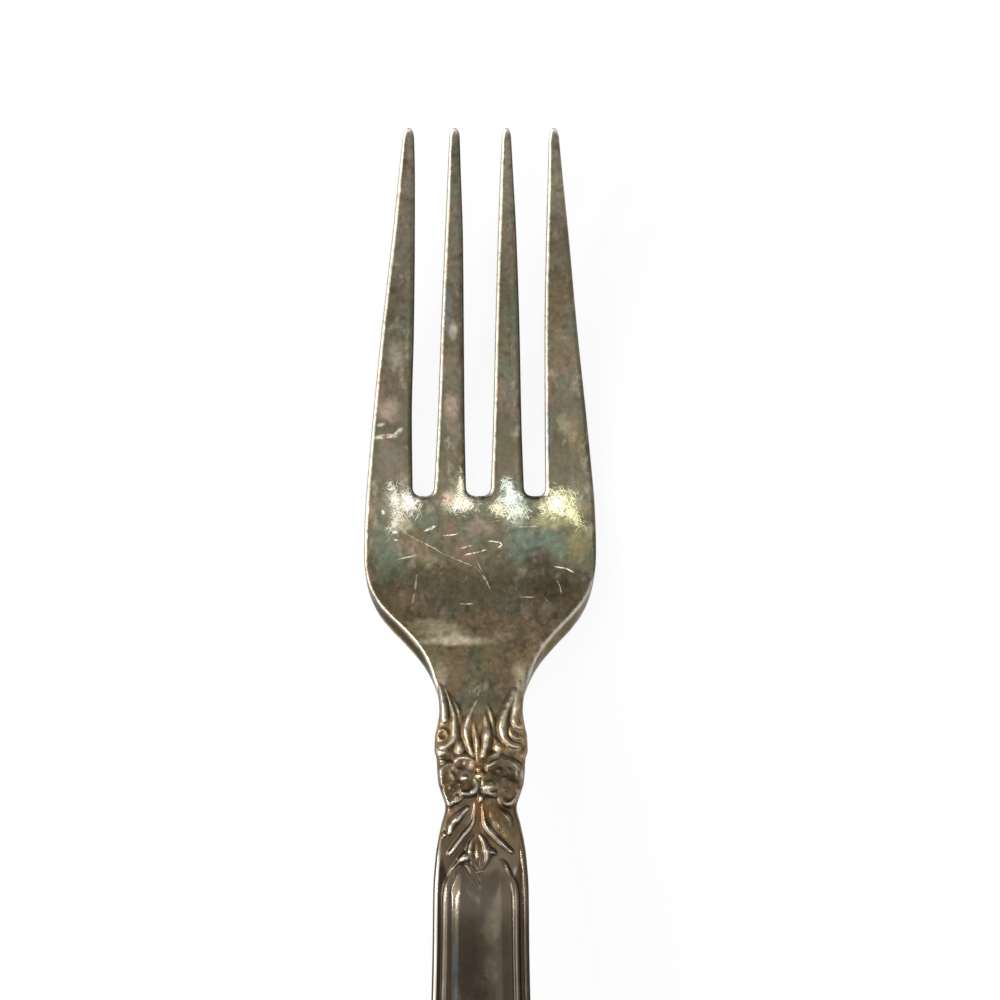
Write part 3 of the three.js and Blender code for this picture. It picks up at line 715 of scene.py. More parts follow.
SWELLINGS = {
    "left lip": (-4.4, -2.45, 0.95, 0.75, 0.55, 0),
    "right lip": (4.5, -2.25, 0.8, 0.8, 0.22, 0),
    "notch bead": (-4.3, -1.5, 0.5, 0.36, 0.32, 0),
    "left small leaf": (-2.3, -2.9, 0.6, 1, 0.42, 0),
    "left heart": (-1.65, 0.3, 0.5, 0.42, 0.36, 0),
    "left petal spot": (-1.64, -1.28, 0.34, 0.34, 0.34, 0),
    "left petal fold": (-3, 0.1, 0.4, 0.9, 0.18, 25),
    "left petal crease": (-3.3, 1.5, 0.5, 0.4, 0.2, 0),
    "left petal bump": (-2.2, 1.1, 0.4, 0.35, 0.2, 30),
    "left petal ruffle": (-2.5, -0.6, 0.45, 0.4, 0.22, -20),
    "right heart": (2.5, 0.4, 0.5, 0.45, 0.24, 0),
    "right petal spot": (0.85, 1.25, 0.95, 0.65, 0.55, 0),
    "right petal fold": (3.1, -0.6, 0.4, 0.6, 0.2, 30),
    "right petal crease": (2, -0.5, 0.5, 0.35, 0.22, 30),
    "right petal bump": (3.3, 0.8, 0.45, 0.4, 0.2, 0),
    "right petal ruffle": (2.6, 1.6, 0.5, 0.35, 0.2, -20),
    "right petal vein": (1.4, 0, 0.3, 0.5, 0.2, 25),
    "bead": (-0.1, 0.05, 0.52, 0.52, 0.55, 0),
    "small bead": (-0.27, -0.62, 0.32, 0.34, 0.4, 0),
    "knop": (0, 2.5, 0.4, 0.65, 0.35, 0),
    "right leaf": (2.3, 5, 1.2, 2.3, 0.26, 31),
    "right leaf spot": (2.06, 5.53, 0.36, 0.8, 0.3, 10),
    "edge bead": (-3.95, 6.5, 0.32, 0.32, 0.4, 0),
    "pendant": (-0.18, 8.7, 0.6, 1.8, 0.26, 0),
}
# Soft mounds that the ornament stands on, with place, half sizes and height
MOUNDS = {
    "left scroll": (-3.6, -5, 1.4, 3, 0.2),
    "right scroll": (3.4, -5, 1.4, 3, 0.2),
    "bud": (-0.3, -4.2, 1.5, 3.2, 0.3),
    "left blossom": (-2.4, 0.5, 2.2, 2.2, 0.35),
    "right blossom": (2.4, 0.5, 2.2, 2.2, 0.35),
    "pendant": (-0.3, 8.2, 1.7, 2.2, 0.16),
}
# The two blossoms: how far across and along each lies, its turn, and its stretch across and along
BLOSSOM = (2.4, 0.5)
BLOSSOM_TURN = 66
BLOSSOM_STRETCH = (1.14, 0.97)
PETAL_HOLLOW = 0.15
LIP_SHARPNESS = 3.0
DOME_FULLNESS = 1.2
LINE_POINTS = 40
LINE_END = 0.02
# How much brighter a crest is for each millimetre that it stands above what is around it
CREST_WEAR = 4.5
# The height that the ornament is pressed down from
PRESS_HEIGHT = 10.0


def spline_through(bends, count):
    """Points of a smooth line through its bends, with their distances along it."""
    bends = np.array(bends, float)
    knots = np.concatenate([[0], np.cumsum(np.linalg.norm(np.diff(bends, axis=0), axis=1))])
    tangents = np.gradient(bends, knots, axis=0)
    run = np.linspace(0, knots[-1], count)
    i = np.clip(np.searchsorted(knots, run, side="right") - 1, 0, len(knots) - 2)
    span = (knots[i + 1] - knots[i])[:, None]
    return between(bends, tangents, i, span, (run - knots[i])[:, None] / span), run


def ridge_section():
    """The section that every ridge is swept with, one unit from its middle to its foot."""
    curve = bpy.data.curves.new("ridge_section", "CURVE")
    spline = curve.splines.new("POLY")
    across = np.linspace(-1, 1, SECTION_POINTS)
    spline.points.add(len(across) - 1)
    for point, x, rise in zip(spline.points, across, bell(across)):
        point.co = (x, -rise, 0, 1)
    return add_object("ridge_section", curve)


def ornament_lines():
    """Every raised line as one curve object in plan, whose radius tapers and rounds off at the ends."""
    curve = bpy.data.curves.new("ornament_lines", "CURVE")
    curve.dimensions = "3D"
    for bends, halves in ORNAMENT_LINES.values():
        places, run = spline_through(bends, LINE_POINTS)
        half = np.interp(run / run[-1], (0, 0.5, 1), halves)
        to_end = np.minimum(run, run[-1] - run)
        half = half * np.sqrt(np.clip(1 - np.clip(1 - to_end / half, 0, 1) ** 2, LINE_END, 1))
        spline = curve.splines.new("POLY")
        spline.points.add(LINE_POINTS - 1)
        for point, (across, along), radius in zip(spline.points, places, half):
            point.co = (across * MM, (FORK_LENGTH / 2 - BLOSSOM_AT - along) * MM, 0, 1)
            point.radius = radius * MM
    return add_object("ornament_lines", curve)


def ornament_points(name, places, sizes, turns):
    """A mesh of loose points in plan that carry the sizes and turns of what is set on them."""
    mesh = bpy.data.meshes.new(name)
    points = [(across * MM, (FORK_LENGTH / 2 - BLOSSOM_AT - along) * MM, 0) for across, along in places]
    mesh.from_pydata(points, [], [])
    size = mesh.attributes.new("size", "FLOAT_VECTOR", "POINT")
    size.data.foreach_set("vector", np.array(sizes, float).ravel())
    turn = mesh.attributes.new("turn", "FLOAT", "POINT")
    turn.data.foreach_set("value", np.radians(turns))
    return add_object(name, mesh)


def ornament_tree(inputs):
    """Geometry nodes that build the ornament in plan and press its height into the front of the neck."""
    tree = bpy.data.node_groups.new("struck_ornament", "GeometryNodeTree")
    tree.interface.new_socket("Geometry", in_out="INPUT", socket_type="NodeSocketGeometry")
    for name, (kind, _) in inputs.items():
        tree.interface.new_socket(name, in_out="INPUT", socket_type="NodeSocket" + kind)
    tree.interface.new_socket("Geometry", in_out="OUTPUT", socket_type="NodeSocketGeometry")
    given = add_node(tree, "NodeGroupInput").outputs
    section, lines, swellings, hearts = (
        add_node(tree, "GeometryNodeObjectInfo", {"Object": given[name]}).outputs["Geometry"]
        for name in ("Section", "Lines", "Swellings", "Blossoms"))
    turn, struck, edge, crested = (
        add_node(tree, "GeometryNodeInputNamedAttribute", {"Name": name}, data_type="FLOAT")
        for name in ("turn", "struck", "rubbed", "crested"))
    size = add_node(tree, "GeometryNodeInputNamedAttribute", {"Name": "size"}, data_type="FLOAT_VECTOR")

    radius = add_node(tree, "GeometryNodeInputRadius")
    ridges = add_node(tree, "GeometryNodeCurveToMesh", {
        "Curve": lines, "Profile Curve": section, "Scale": radius})
    steepness = add_node(tree, "ShaderNodeCombineXYZ", {"X": 1.0, "Y": 1.0, "Z": given["Line Steepness"]})
    ridges = add_node(tree, "GeometryNodeTransform", {"Geometry": ridges, "Scale": steepness})

    ball = add_node(tree, "GeometryNodeMeshUVSphere", {"Segments": 32, "Rings": 24, "Radius": 1.0})
    place = add_node(tree, "GeometryNodeInputPosition")
    plan = add_node(tree, "ShaderNodeVectorMath", {0: place, 1: (1.0, 1.0, 0.0)}, operation="MULTIPLY")
    away = add_node(tree, "ShaderNodeVectorMath", {
        0: plan, 1: plan}, operation="DOT_PRODUCT").outputs["Value"]
    fall = add_node(tree, "ShaderNodeMath", {0: 1.0, 1: away}, operation="SUBTRACT", use_clamp=True)
    swell = add_node(tree, "ShaderNodeMath", {0: fall, 1: DOME_FULLNESS}, operation="POWER")

    # A petal is a cup, low in the middle and towards the heart, with a round rim
    cup = add_node(tree, "ShaderNodeMath", {
        0: away, 1: 1 - PETAL_HOLLOW, 2: PETAL_HOLLOW}, operation="MULTIPLY_ADD")
    lip = add_node(tree, "ShaderNodeMath", {0: away, 1: LIP_SHARPNESS}, operation="POWER")
    lip = add_node(tree, "ShaderNodeMath", {0: 1.0, 1: lip}, operation="SUBTRACT", use_clamp=True)
    lip = add_node(tree, "ShaderNodeMath", {0: lip}, operation="SQRT")
    outward = add_node(tree, "ShaderNodeSeparateXYZ", {"Vector": place}).outputs["Y"]
    lean = add_node(tree, "ShaderNodeMath", {
        0: outward, 1: given["Petal Lean"], 2: 1.0}, operation="MULTIPLY_ADD")
    for factor in (lip, lean):
        cup = add_node(tree, "ShaderNodeMath", {0: cup, 1: factor}, operation="MULTIPLY")
    shapes = []
    for height in (swell, cup):
        rise = add_node(tree, "ShaderNodeCombineXYZ", {"Z": height})
        moved = add_node(tree, "ShaderNodeVectorMath", {0: plan, 1: rise}, operation="ADD")
        shapes.append(add_node(tree, "GeometryNodeSetPosition", {"Geometry": ball, "Position": moved}))
    dome, petal = shapes
    petal_size = add_node(tree, "ShaderNodeCombineXYZ", {
        "X": given["Petal Width"], "Y": given["Petal Length"], "Z": given["Petal Height"]})
    petal = add_node(tree, "GeometryNodeTransform", {"Geometry": petal, "Scale": petal_size})
    ring = add_node(tree, "GeometryNodeMeshCircle", {
        "Vertices": given["Petals"], "Radius": given["Petal Reach"]})
    number = add_node(tree, "GeometryNodeInputIndex")
    step = add_node(tree, "ShaderNodeMath", {0: 2 * math.pi, 1: given["Petals"]}, operation="DIVIDE")
    angle = add_node(tree, "ShaderNodeMath", {
        0: number, 1: step, 2: -math.pi / 2}, operation="MULTIPLY_ADD")
    around = add_node(tree, "ShaderNodeCombineXYZ", {"Z": angle})
    blossom = add_node(tree, "GeometryNodeInstanceOnPoints", {
        "Points": ring, "Instance": petal, "Rotation": around})
    about_z = add_node(tree, "ShaderNodeCombineXYZ", {"Z": turn})
    domes, blossoms = (
        add_node(tree, "GeometryNodeInstanceOnPoints", {
            "Points": points, "Instance": shape, "Rotation": about_z, "Scale": size})
        for points, shape in ((swellings, dome), (hearts, blossom)))
    ornament = add_node(tree, "GeometryNodeJoinGeometry", {"Geometry": [ridges, domes, blossoms]})
    ornament = add_node(tree, "GeometryNodeRealizeInstances", {"Geometry": ornament})

    above = add_node(tree, "ShaderNodeVectorMath", {
        0: place, 1: (1.0, 1.0, 0.0), 2: (0.0, 0.0, PRESS_HEIGHT * MM)}, operation="MULTIPLY_ADD")
    press = add_node(tree, "GeometryNodeRaycast", {
        "Target Geometry": ornament, "Source Position": above,
        "Ray Direction": (0.0, 0.0, -1.0), "Ray Length": 2 * PRESS_HEIGHT * MM}).outputs
    hit = add_node(tree, "ShaderNodeSeparateXYZ", {"Vector": press["Hit Position"]}).outputs["Z"]
    raised = add_node(tree, "ShaderNodeMath", {0: hit, 1: 0.0}, operation="MAXIMUM")
    # A worn die leaves the ornament a little uneven in height
    fineness = add_node(tree, "ShaderNodeMath", {0: 1.0, 1: given["Uneven Size"]}, operation="DIVIDE")
    uneven = add_node(tree, "ShaderNodeTexNoise", {
        "Vector": place, "Scale": fineness, "Detail": 2.0}).outputs["Fac"]
    uneven = add_node(tree, "ShaderNodeMath", {0: uneven, 1: 0.5}, operation="SUBTRACT")
    uneven = add_node(tree, "ShaderNodeMath", {
        0: uneven, 1: given["Unevenness"], 2: 1.0}, operation="MULTIPLY_ADD")
    for factor in (press["Is Hit"], struck, uneven):
        raised = add_node(tree, "ShaderNodeMath", {0: raised, 1: factor}, operation="MULTIPLY")
    soft, broad = (
        add_node(tree, "GeometryNodeBlurAttribute", {
            "Value": raised, "Iterations": given[reach]}, data_type="FLOAT")
        for reach in ("Softness", "Wear Reach"))
    crest = add_node(tree, "ShaderNodeMath", {0: soft, 1: broad}, operation="SUBTRACT")
    crest = add_node(tree, "ShaderNodeMath", {0: crest, 1: crested}, operation="MULTIPLY")
    # Crests are bright with wear; this is added to the edge mark, which holds painted highlights and shade
    rubbed = add_node(tree, "ShaderNodeMath", {
        0: crest, 1: CREST_WEAR / MM, 2: edge}, operation="MULTIPLY_ADD")
    marked = add_node(tree, "GeometryNodeStoreNamedAttribute", {
        "Geometry": given["Geometry"], "Name": "rubbed", "Value": rubbed},
        data_type="FLOAT", domain="POINT")
    lift = add_node(tree, "ShaderNodeCombineXYZ", {"Z": soft})
    lifted = add_node(tree, "GeometryNodeSetPosition", {"Geometry": marked, "Offset": lift})
    whole = add_node(tree, "GeometryNodeRealizeInstances", {"Geometry": lifted})
    whole = add_node(tree, "GeometryNodeSetMaterial", {"Geometry": whole, "Material": given["Material"]})
    add_node(tree, "NodeGroupOutput", {"Geometry": whole})
    return tree


def strike_ornament(neck, material):
    """Presses the ornament into the neck and leaves a plain mesh."""
    rows = np.array(list(SWELLINGS.values()))
    sides = np.array((-1, 1))
    tools = {
        "Section": ridge_section(),
        "Lines": ornament_lines(),
        "Swellings": ornament_points("swellings", rows[:, :2], rows[:, 2:5] * MM, rows[:, 5]),
        "Blossoms": ornament_points(
            "blossoms", [(side * BLOSSOM[0], BLOSSOM[1]) for side in sides],
            [(side * BLOSSOM_STRETCH[0], BLOSSOM_STRETCH[1], 1) for side in sides], sides * -BLOSSOM_TURN),
    }
    inputs = {name: ("Object", tool) for name, tool in tools.items()}
    inputs.update({
        "Material": ("Material", material),
        "Petals": ("Int", 4),
        "Petal Reach": ("Float", 1.3 * MM),
        "Petal Width": ("Float", 1.35 * MM),
        "Petal Length": ("Float", 1.2 * MM),
        "Petal Height": ("Float", 0.34 * MM),
        "Petal Lean": ("Float", 0.5),
        "Line Steepness": ("Float", LINE_STEEPNESS),
        "Unevenness": ("Float", 0.6),
        "Uneven Size": ("Float", 0.9 * MM),
        "Softness": ("Int", 5),
        "Wear Reach": ("Int", 70),
    })
    modifier = neck.modifiers.new("struck_ornament", "NODES")
    modifier.node_group = ornament_tree(inputs)
    for socket in modifier.node_group.interface.items_tree:
        if socket.name in inputs:
            modifier[socket.identifier] = inputs[socket.name][1]
    graph = bpy.context.evaluated_depsgraph_get()
    struck = neck.evaluated_get(graph)
    mesh = bpy.data.meshes.new_from_object(struck, preserve_all_data_layers=True, depsgraph=graph)
    neck.modifiers.remove(modifier)
    neck.data = mesh
    for tool in tools.values():
        bpy.data.objects.remove(tool)


# Finishes

# The colour of the tarnish by station: pale at the tips, olive over the palm, brown down to the handle
TARNISH = (
    (0, "#968c7a"), (5, "#968d78"), (10, "#7f7867"), (18, "#6a6352"), (24, "#716a57"), (31, "#5a5447"),
    (34, "#544f3c"), (38, "#625d4d"), (46, "#605c47"), (50, "#544a39"), (54, "#907e61"), (58, "#817357"),
    (62, "#6c5d48"), (65, "#94805f"), (68, "#8a7452"), (70.5, "#584730"), (74, "#564530"), (77, "#5a4c37"),
    (80, "#50463b"), (84, "#5f564b"), (87, "#453c32"), (92, "#413930"), (110, "#413930"),
)
# Stains, with painted highlights, reflections and shade among them, each with its place, half sizes, turn in
# degrees, colour and strength
HEAD_STAINS_AND_PAINTED_LIGHT = {
    "teal right": (5.8, 44.8, 3.8, 1.7, 0, "#5f7063", 0.7),
    "teal right low": (4.0, 46.4, 2.0, 0.9, 10, "#55635b", 0.7),
    "teal far right": (8.4, 45.4, 1.3, 1.8, 0, "#6a7a65", 0.55),
    "teal left": (-10.8, 45.4, 1.7, 2.8, 0, "#6d7a6a", 0.55),
    "teal middle": (-6.2, 42.6, 2.2, 1.0, 0, "#697565", 0.55),
    "teal between roots": (0.2, 41.6, 1.8, 0.9, 0, "#76796a", 0.5),
    "pink middle": (-1.5, 46.6, 2.4, 1.6, -10, "#7f6757", 0.65),
    "pink upper": (-0.1, 43.6, 2.3, 0.9, 0, "#957f6e", 0.6),
    "pink left": (-7.2, 45.8, 2.0, 1.4, -15, "#8c7862", 0.6),
    "pink edge": (-12.0, 41.5, 0.8, 2.4, 0, "#93806f", 0.4),
    # Painted highlight: pale haloes round the bright tine roots
    "pale left root": (-9, 41, 2.2, 2, 0, "#a39c88", 0.6),
    "pale left inner root": (-2.8, 40.4, 2.2, 1.5, 0, "#a69d86", 0.6),
    "pale right inner root": (3.2, 41, 2, 1.8, 0, "#a5a993", 0.6),
    "pale right root": (8.9, 41, 2.6, 1.8, 0, "#a9a884", 0.6),
    "pale left": (-8.6, 43.2, 1.4, 0.8, 0, "#b0a78e", 0.6),
    "pale right": (4.0, 43.0, 1.6, 0.7, 0, "#a5ab92", 0.6),
    "yellow right": (10.7, 45.4, 1.4, 2.4, 0, "#928b62", 0.5),
    # Painted shade over the tarnish: darker where the dish past the heel turns away from the lamps, and round
    # a bump
    "dark right": (7.8, 49.9, 2.8, 2.2, 0, "#433c2e", 0.9),
    "dark low right": (4.2, 49.2, 1.3, 0.9, 0, "#4b4434", 0.5),
    "bump": (6.2, 47.3, 1.5, 1.5, 0, "#4b4037", 1.0),
    "bump rim": (5.6, 45.95, 1.3, 0.28, 15, "#43403c", 0.6),
    "bump rim right": (7.35, 46.9, 0.3, 1.1, 0, "#43403c", 0.6),
    # Painted shade over the tarnish: darker where the dish past the heel turns away from the lamps
    "dark middle": (-3.5, 50.2, 5.4, 1.9, 0, "#5e5644", 0.6),
    "dark low left": (-7.6, 53.2, 1.5, 0.8, 0, "#50452f", 0.55),
    "brown low left": (-8.6, 51.2, 2.2, 1.5, 0, "#806f59", 0.5),
    "smear": (-4.4, 54.8, 3.2, 1.3, -8, "#cbbd9a", 0.85),
    "smear edge": (-2.8, 55.9, 4.2, 0.6, 0, "#e6d9b8", 1.0),
    "smear right": (2.6, 55.4, 1.2, 0.7, 0, "#b8a88d", 0.7),
    "olive right": (8.0, 42.7, 2.4, 0.9, 0, "#9a986f", 0.7),
    # Painted highlights along the crests of the shoulders
    "pale right shoulder": (4.2, 60.0, 0.8, 2.4, 0, "#c8b79c", 0.6),
    "pale left shoulder": (-4.5, 60.0, 0.8, 2.4, 0, "#b5a692", 0.5),
    "pale on inner tine": (-3.07, 21.7, 0.5, 1.2, 0, "#c3b8a8", 0.65),
    "pink on inner tine": (-3.25, 30.0, 0.9, 1.6, 0, "#a38f81", 0.6),
    "grey on inner tine": (-3.76, 19.4, 0.6, 2.6, 0, "#7b8284", 0.6),
    "brown on inner tine": (-3.2, 25.5, 0.8, 1.6, 0, "#7a6a57", 0.55),
    "dark on right inner tine": (2.6, 35.6, 1.4, 2.2, 0, "#5d5646", 0.65),
    "dark high on right inner tine": (2.33, 22.6, 0.6, 1.4, 0, "#655d4a", 0.6),
    "brown on right outer tine": (8.75, 18.6, 1.3, 2.8, 0, "#7a6249", 0.55),
    "blue on right outer tine": (7.5, 33.6, 0.4, 2.6, 0, "#565c61", 0.7),
    "pale on right outer tine": (9.0, 32.0, 0.7, 1.4, 0, "#93906f", 0.45),
    "olive on right outer tine": (8.4, 21, 1.4, 8.5, 0, "#685a3d", 0.35),
    "olive low on right outer tine": (10.4, 33.2, 1.1, 3.2, 0, "#6a6343", 0.45),
    "grey on left outer tine": (-10.0, 35.6, 1.7, 1.9, 0, "#6c655c", 0.7),
    "pale on left outer tine": (-9.5, 24.4, 1.1, 1.9, 0, "#a59b8c", 0.5),
    "pale low left": (-5.5, 47.2, 1.2, 0.9, 0, "#9b8a72", 0.5),
    "pink on left outer tine": (-10.3, 30.6, 1.5, 1.5, 0, "#988a7a", 0.55),
}
NECK_STAINS_AND_PAINTED_LIGHT = {
    "grey left": (-2.3, 62.3, 1.4, 1.3, 0, "#55584c", 0.75),
    "grey right": (1.5, 62.6, 1.4, 1.2, 0, "#585543", 0.75),
    "gold bead": (-0.05, 70.4, 0.55, 0.55, 0, "#bd9152", 0.95),
    "gold small bead": (-0.2, 69.6, 0.4, 0.6, 0, "#b58a4e", 0.85),
    "gold leaf": (2.0, 67.6, 0.9, 0.7, 0, "#cfa877", 0.5),
    "brown stems": (0, 74.0, 2.6, 1.4, 0, "#6a4a30", 0.5),
    # Painted highlights along the crests of the shoulders and the outer edge of the right scroll
    "pale right shoulder": (4.2, 60.0, 0.8, 2.4, 0, "#c8b79c", 0.6),
    "pale right scroll": (3.7, 62.9, 0.6, 1.6, 0, "#cdbda3", 0.8),
    "pale left shoulder": (-4.5, 60.0, 0.8, 2.4, 0, "#b5a692", 0.5),
    "pale bud tip": (0.4, 60.7, 0.5, 0.8, 0, "#a3927b", 0.5),
    "dark right lip": (3.8, 68.3, 0.9, 0.8, 0, "#4a3a22", 0.8),
    "dark left volute": (-4.1, 66.1, 0.7, 0.7, 0, "#4a3a26", 0.7),
    "dark bud": (-0.6, 65.0, 0.5, 1.4, 0, "#5a4832", 0.5),
    "dark beside bud": (1.5, 65.0, 0.5, 1.5, 0, "#4d3b28", 0.6),
    "dark left blossom": (-2.5, 70.9, 1.9, 2.2, 0, "#3d3226", 0.75),
    "dark right blossom": (2.5, 70.9, 1.9, 2.2, 0, "#3d3226", 0.75),
    # Painted highlights on the heart of the left blossom and a petal of the right one
    "pale left heart": (-1.8, 70.5, 0.7, 0.6, 0, "#a89a80", 0.6),
    "pale right petal": (0.9, 71.6, 1.0, 0.55, 0, "#b8aa8a", 0.8),
    "pale right leaf": (1.5, 76.3, 0.6, 0.9, 0, "#a8987f", 0.7),
    "pale right border": (3.75, 81.3, 0.4, 1.0, 0, "#9d927c", 0.6),
    "dark left recess": (-1.6, 77.3, 0.7, 1.0, 0, "#3a2d22", 0.6),
    "dark right recess": (0.9, 77.0, 0.5, 0.7, 0, "#3f3024", 0.5),
}
HANDLE_STAINS_AND_PAINTED_LIGHT = {
    # A painted reflection: the dim streak down the left shoulder of the panel
    "teal left band": (-2.75, 91.5, 0.5, 5, 0, "#4b514e", 0.85),
    # A painted soft highlight right of the middle of the panel
    "grey upper": (1.1, 86.6, 1.1, 2.1, 0, "#6c6354", 0.6),
    "grey lower": (1.0, 91.6, 0.7, 1.9, 0, "#665d4f", 0.55),
    "dark middle": (-1.2, 91.5, 1.1, 5.5, 0, "#382f26", 0.7),
    "dark right": (2.4, 88.8, 0.7, 1.8, 0, "#3c342a", 0.5),
    "dark low": (0, 94.6, 0.9, 1.4, 0, "#2f2820", 0.6),
    # A painted glint low on the left of the panel
    "pale low": (-2.6, 95.2, 0.45, 2.2, 0, "#7d7876", 0.5),
}
# Painted highlights at the tine roots, broken up by fine scratches, with place, half sizes, turn and colour
ROOT_HIGHLIGHTS = {
    "left outer root": (-8.1, 40.6, 1.2, 1.6, 25, "#f1ede0"),
    "left outer root arm": (-9.5, 40.7, 0.8, 2.2, 16, "#dcd6c6"),
    "left outer root trail": (-9.4, 42.7, 0.6, 1.7, -30, "#d6d0bd"),
    "left inner root": (-2.3, 40.8, 1.8, 1.1, 0, "#f1ecd6"),
    "left inner root arm": (-2.25, 39.2, 0.45, 1.8, 0, "#e6dfc4"),
    "left inner root pink": (-3.7, 40.3, 0.7, 0.8, 0, "#c4a792"),
    "right inner root": (3.2, 40.6, 1.4, 1.3, 0, "#e6f2e6"),
    "right inner root top": (3.0, 39.2, 0.8, 1.2, 20, "#d4e2d4"),
    "right inner root low": (3.9, 41.85, 1.4, 0.8, 0, "#f0f4de"),
    "right inner root left": (2.0, 41.4, 1.1, 0.9, 40, "#eee6c4"),
    "right outer root": (8.4, 40.8, 2.2, 1.5, 20, "#ecedbe"),
    "right outer root core": (8.4, 40.75, 0.8, 1.5, 38, "#f9f2ea"),
    "right outer root arm": (10.0, 41.8, 0.8, 2.0, 34, "#e9ebb0"),
}
# Scratches as lines of places, each with its half width and strength
SCRATCHES = {
    "long": (((-9.4, 43.1), (-8.2, 44.2), (-3.9, 46.5), (-0.5, 47.95), (0.75, 49.7)), 0.05, 0.6),
    "long branch": (((-0.5, 47.1), (0.3, 48.8), (0.95, 50.4)), 0.06, 0.4),
    "bar": (((-1.75, 46.5), (-0.6, 46.25), (0.5, 45.95)), 0.09, 1.0),
    "bar above": (((-2.3, 45.8), (-1.15, 45.5)), 0.08, 0.7),
    "hook": (((0.9, 45.0), (2.0, 45.1), (2.3, 45.35), (1.9, 45.7)), 0.08, 1.0),
    "tick": (((-4.25, 44.4), (-2.7, 44.2)), 0.08, 0.9),
    "tick left": (((-6.2, 43.8), (-5.0, 43.3)), 0.16, 0.8),
    "faint line": (((4.1, 43.4), (6.4, 43.4)), 0.07, 0.5),
    "dot left": (((-10.9, 41.7), (-10.8, 41.8)), 0.2, 0.9),
    "dot low left": (((-9.6, 44.9), (-9.3, 44.9)), 0.16, 0.9),
    "low left": (((-9.45, 47.1), (-7.1, 46.5)), 0.07, 0.7),
    "dots left": (((-9.7, 44.0), (-9.4, 43.95)), 0.17, 0.9),
    "right edge": (((7.9, 47.7), (9.3, 48.0), (10.3, 48.5)), 0.09, 0.9),
    "right low": (((4.2, 51.15), (6.05, 51.25)), 0.07, 0.7),
    "right lowest": (((7.0, 51.3), (7.6, 51.8)), 0.06, 0.5),
    "low middle": (((-2.4, 51.9), (-1.0, 51.9)), 0.09, 0.8),
    "pale left": (((-7.1, 48.7), (-7.35, 50.6), (-7.65, 52.5)), 0.12, 0.35),
    "right curl": (((8.4, 49.4), (8.75, 50.1), (8.9, 51.0)), 0.06, 0.6),
    "crook": (((-11.75, 33.5), (-9.5, 33.35), (-8.9, 32.6)), 0.26, 0.5),
    "crook above": (((-11.6, 32.2), (-10.8, 32.0)), 0.2, 0.35),
}
# The directions of the hairline scratches, and their width and length in millimetres, which are coarser than
# real ones so that they show
HAIRLINE_TURNS = (24, -32, 68, -78)
HAIRLINE_SIZE = (0.11, 1.3)
# How far past its half sizes a stain or a painted root highlight fades out
STAIN_SPREAD = 1.25
ROOT_HIGHLIGHT_SPREAD = 1.95
# How the edge of a stain or a patch wanders: the size of the waves and their reach
RAGGED_EDGES = {"torn": (1.4, 1.8), "fine": (1.6, 0.35)}
# A stain whose half size is smaller keeps a fine edge
FINE_BELOW = 0.6
# Clouds, each with its size, the range of the noise it lies in, colour and strength
CLOUDS = (
    (7.0, 0.48, 0.62, "#554a39", 0.5),
    (3.0, 0.5, 0.62, "#5c6656", 0.5),
    (2.4, 0.52, 0.66, "#836b5c", 0.45),
    (1.6, 0.55, 0.7, "#a39785", 0.45),
    (1.1, 0.53, 0.66, "#484031", 0.45),
)
CLOUD_STRETCH = (1.0, 0.6, 1.0)
# The clouds and the mottle fade between these stations to a small share
CLOUD_FADE = (66, 82)
CLOUD_SHARE = 0.12
TEAR_SIZE = 0.9
MOTTLE_SIZE = 0.6
WAVE_SIZE = 2.5
# The plate is satin up to the first of these stations and glossy from the second
GLOSS_RISE = (62, 88)
SATIN = 0.36
GLOSSY = 0.13
HAIRLINE_DEPTH = 0.0015
SCRATCH_DEPTH = 0.02
WAVE_HEIGHT = 0.02
SCRATCH_COLOUR = "#efe6d3"
# The colour of crests bright with wear and of painted highlights
CREST_AND_HIGHLIGHT_COLOUR = "#d4cdbf"
# The colour of dark recesses and of painted shade
RECESS_AND_SHADE_COLOUR = "#2e2318"


def linear(hex_colour):
    """An sRGB hex colour as linear red, green, blue and alpha."""
    parts = [int(hex_colour[i : i + 2], 16) / 255 for i in (1, 3, 5)]
    return (*(c / 12.92 if c <= 0.04045 else ((c + 0.055) / 1.055) ** 2.4 for c in parts), 1)


def new_material(name):
    material = bpy.data.materials.new(name)
    material.use_nodes = True
    material.node_tree.nodes.clear()
    return material, material.node_tree


def patch(tree, vector, across, station, half_across, half_along, turn):
    """How far inside an oval each place lies, from 0 on its edge and outside to 1 in the middle."""
    oval = add_node(tree, "ShaderNodeMapping", {
        "Vector": vector, "Location": (across, FORK_LENGTH / 2 - station, 0), "Rotation": (0, 0, turn),
        "Scale": (half_across, half_along, FAR)}, vector_type="TEXTURE")
    gradient = add_node(tree, "ShaderNodeTexGradient", {"Vector": oval}, gradient_type="SPHERICAL")
    return gradient.outputs["Fac"]


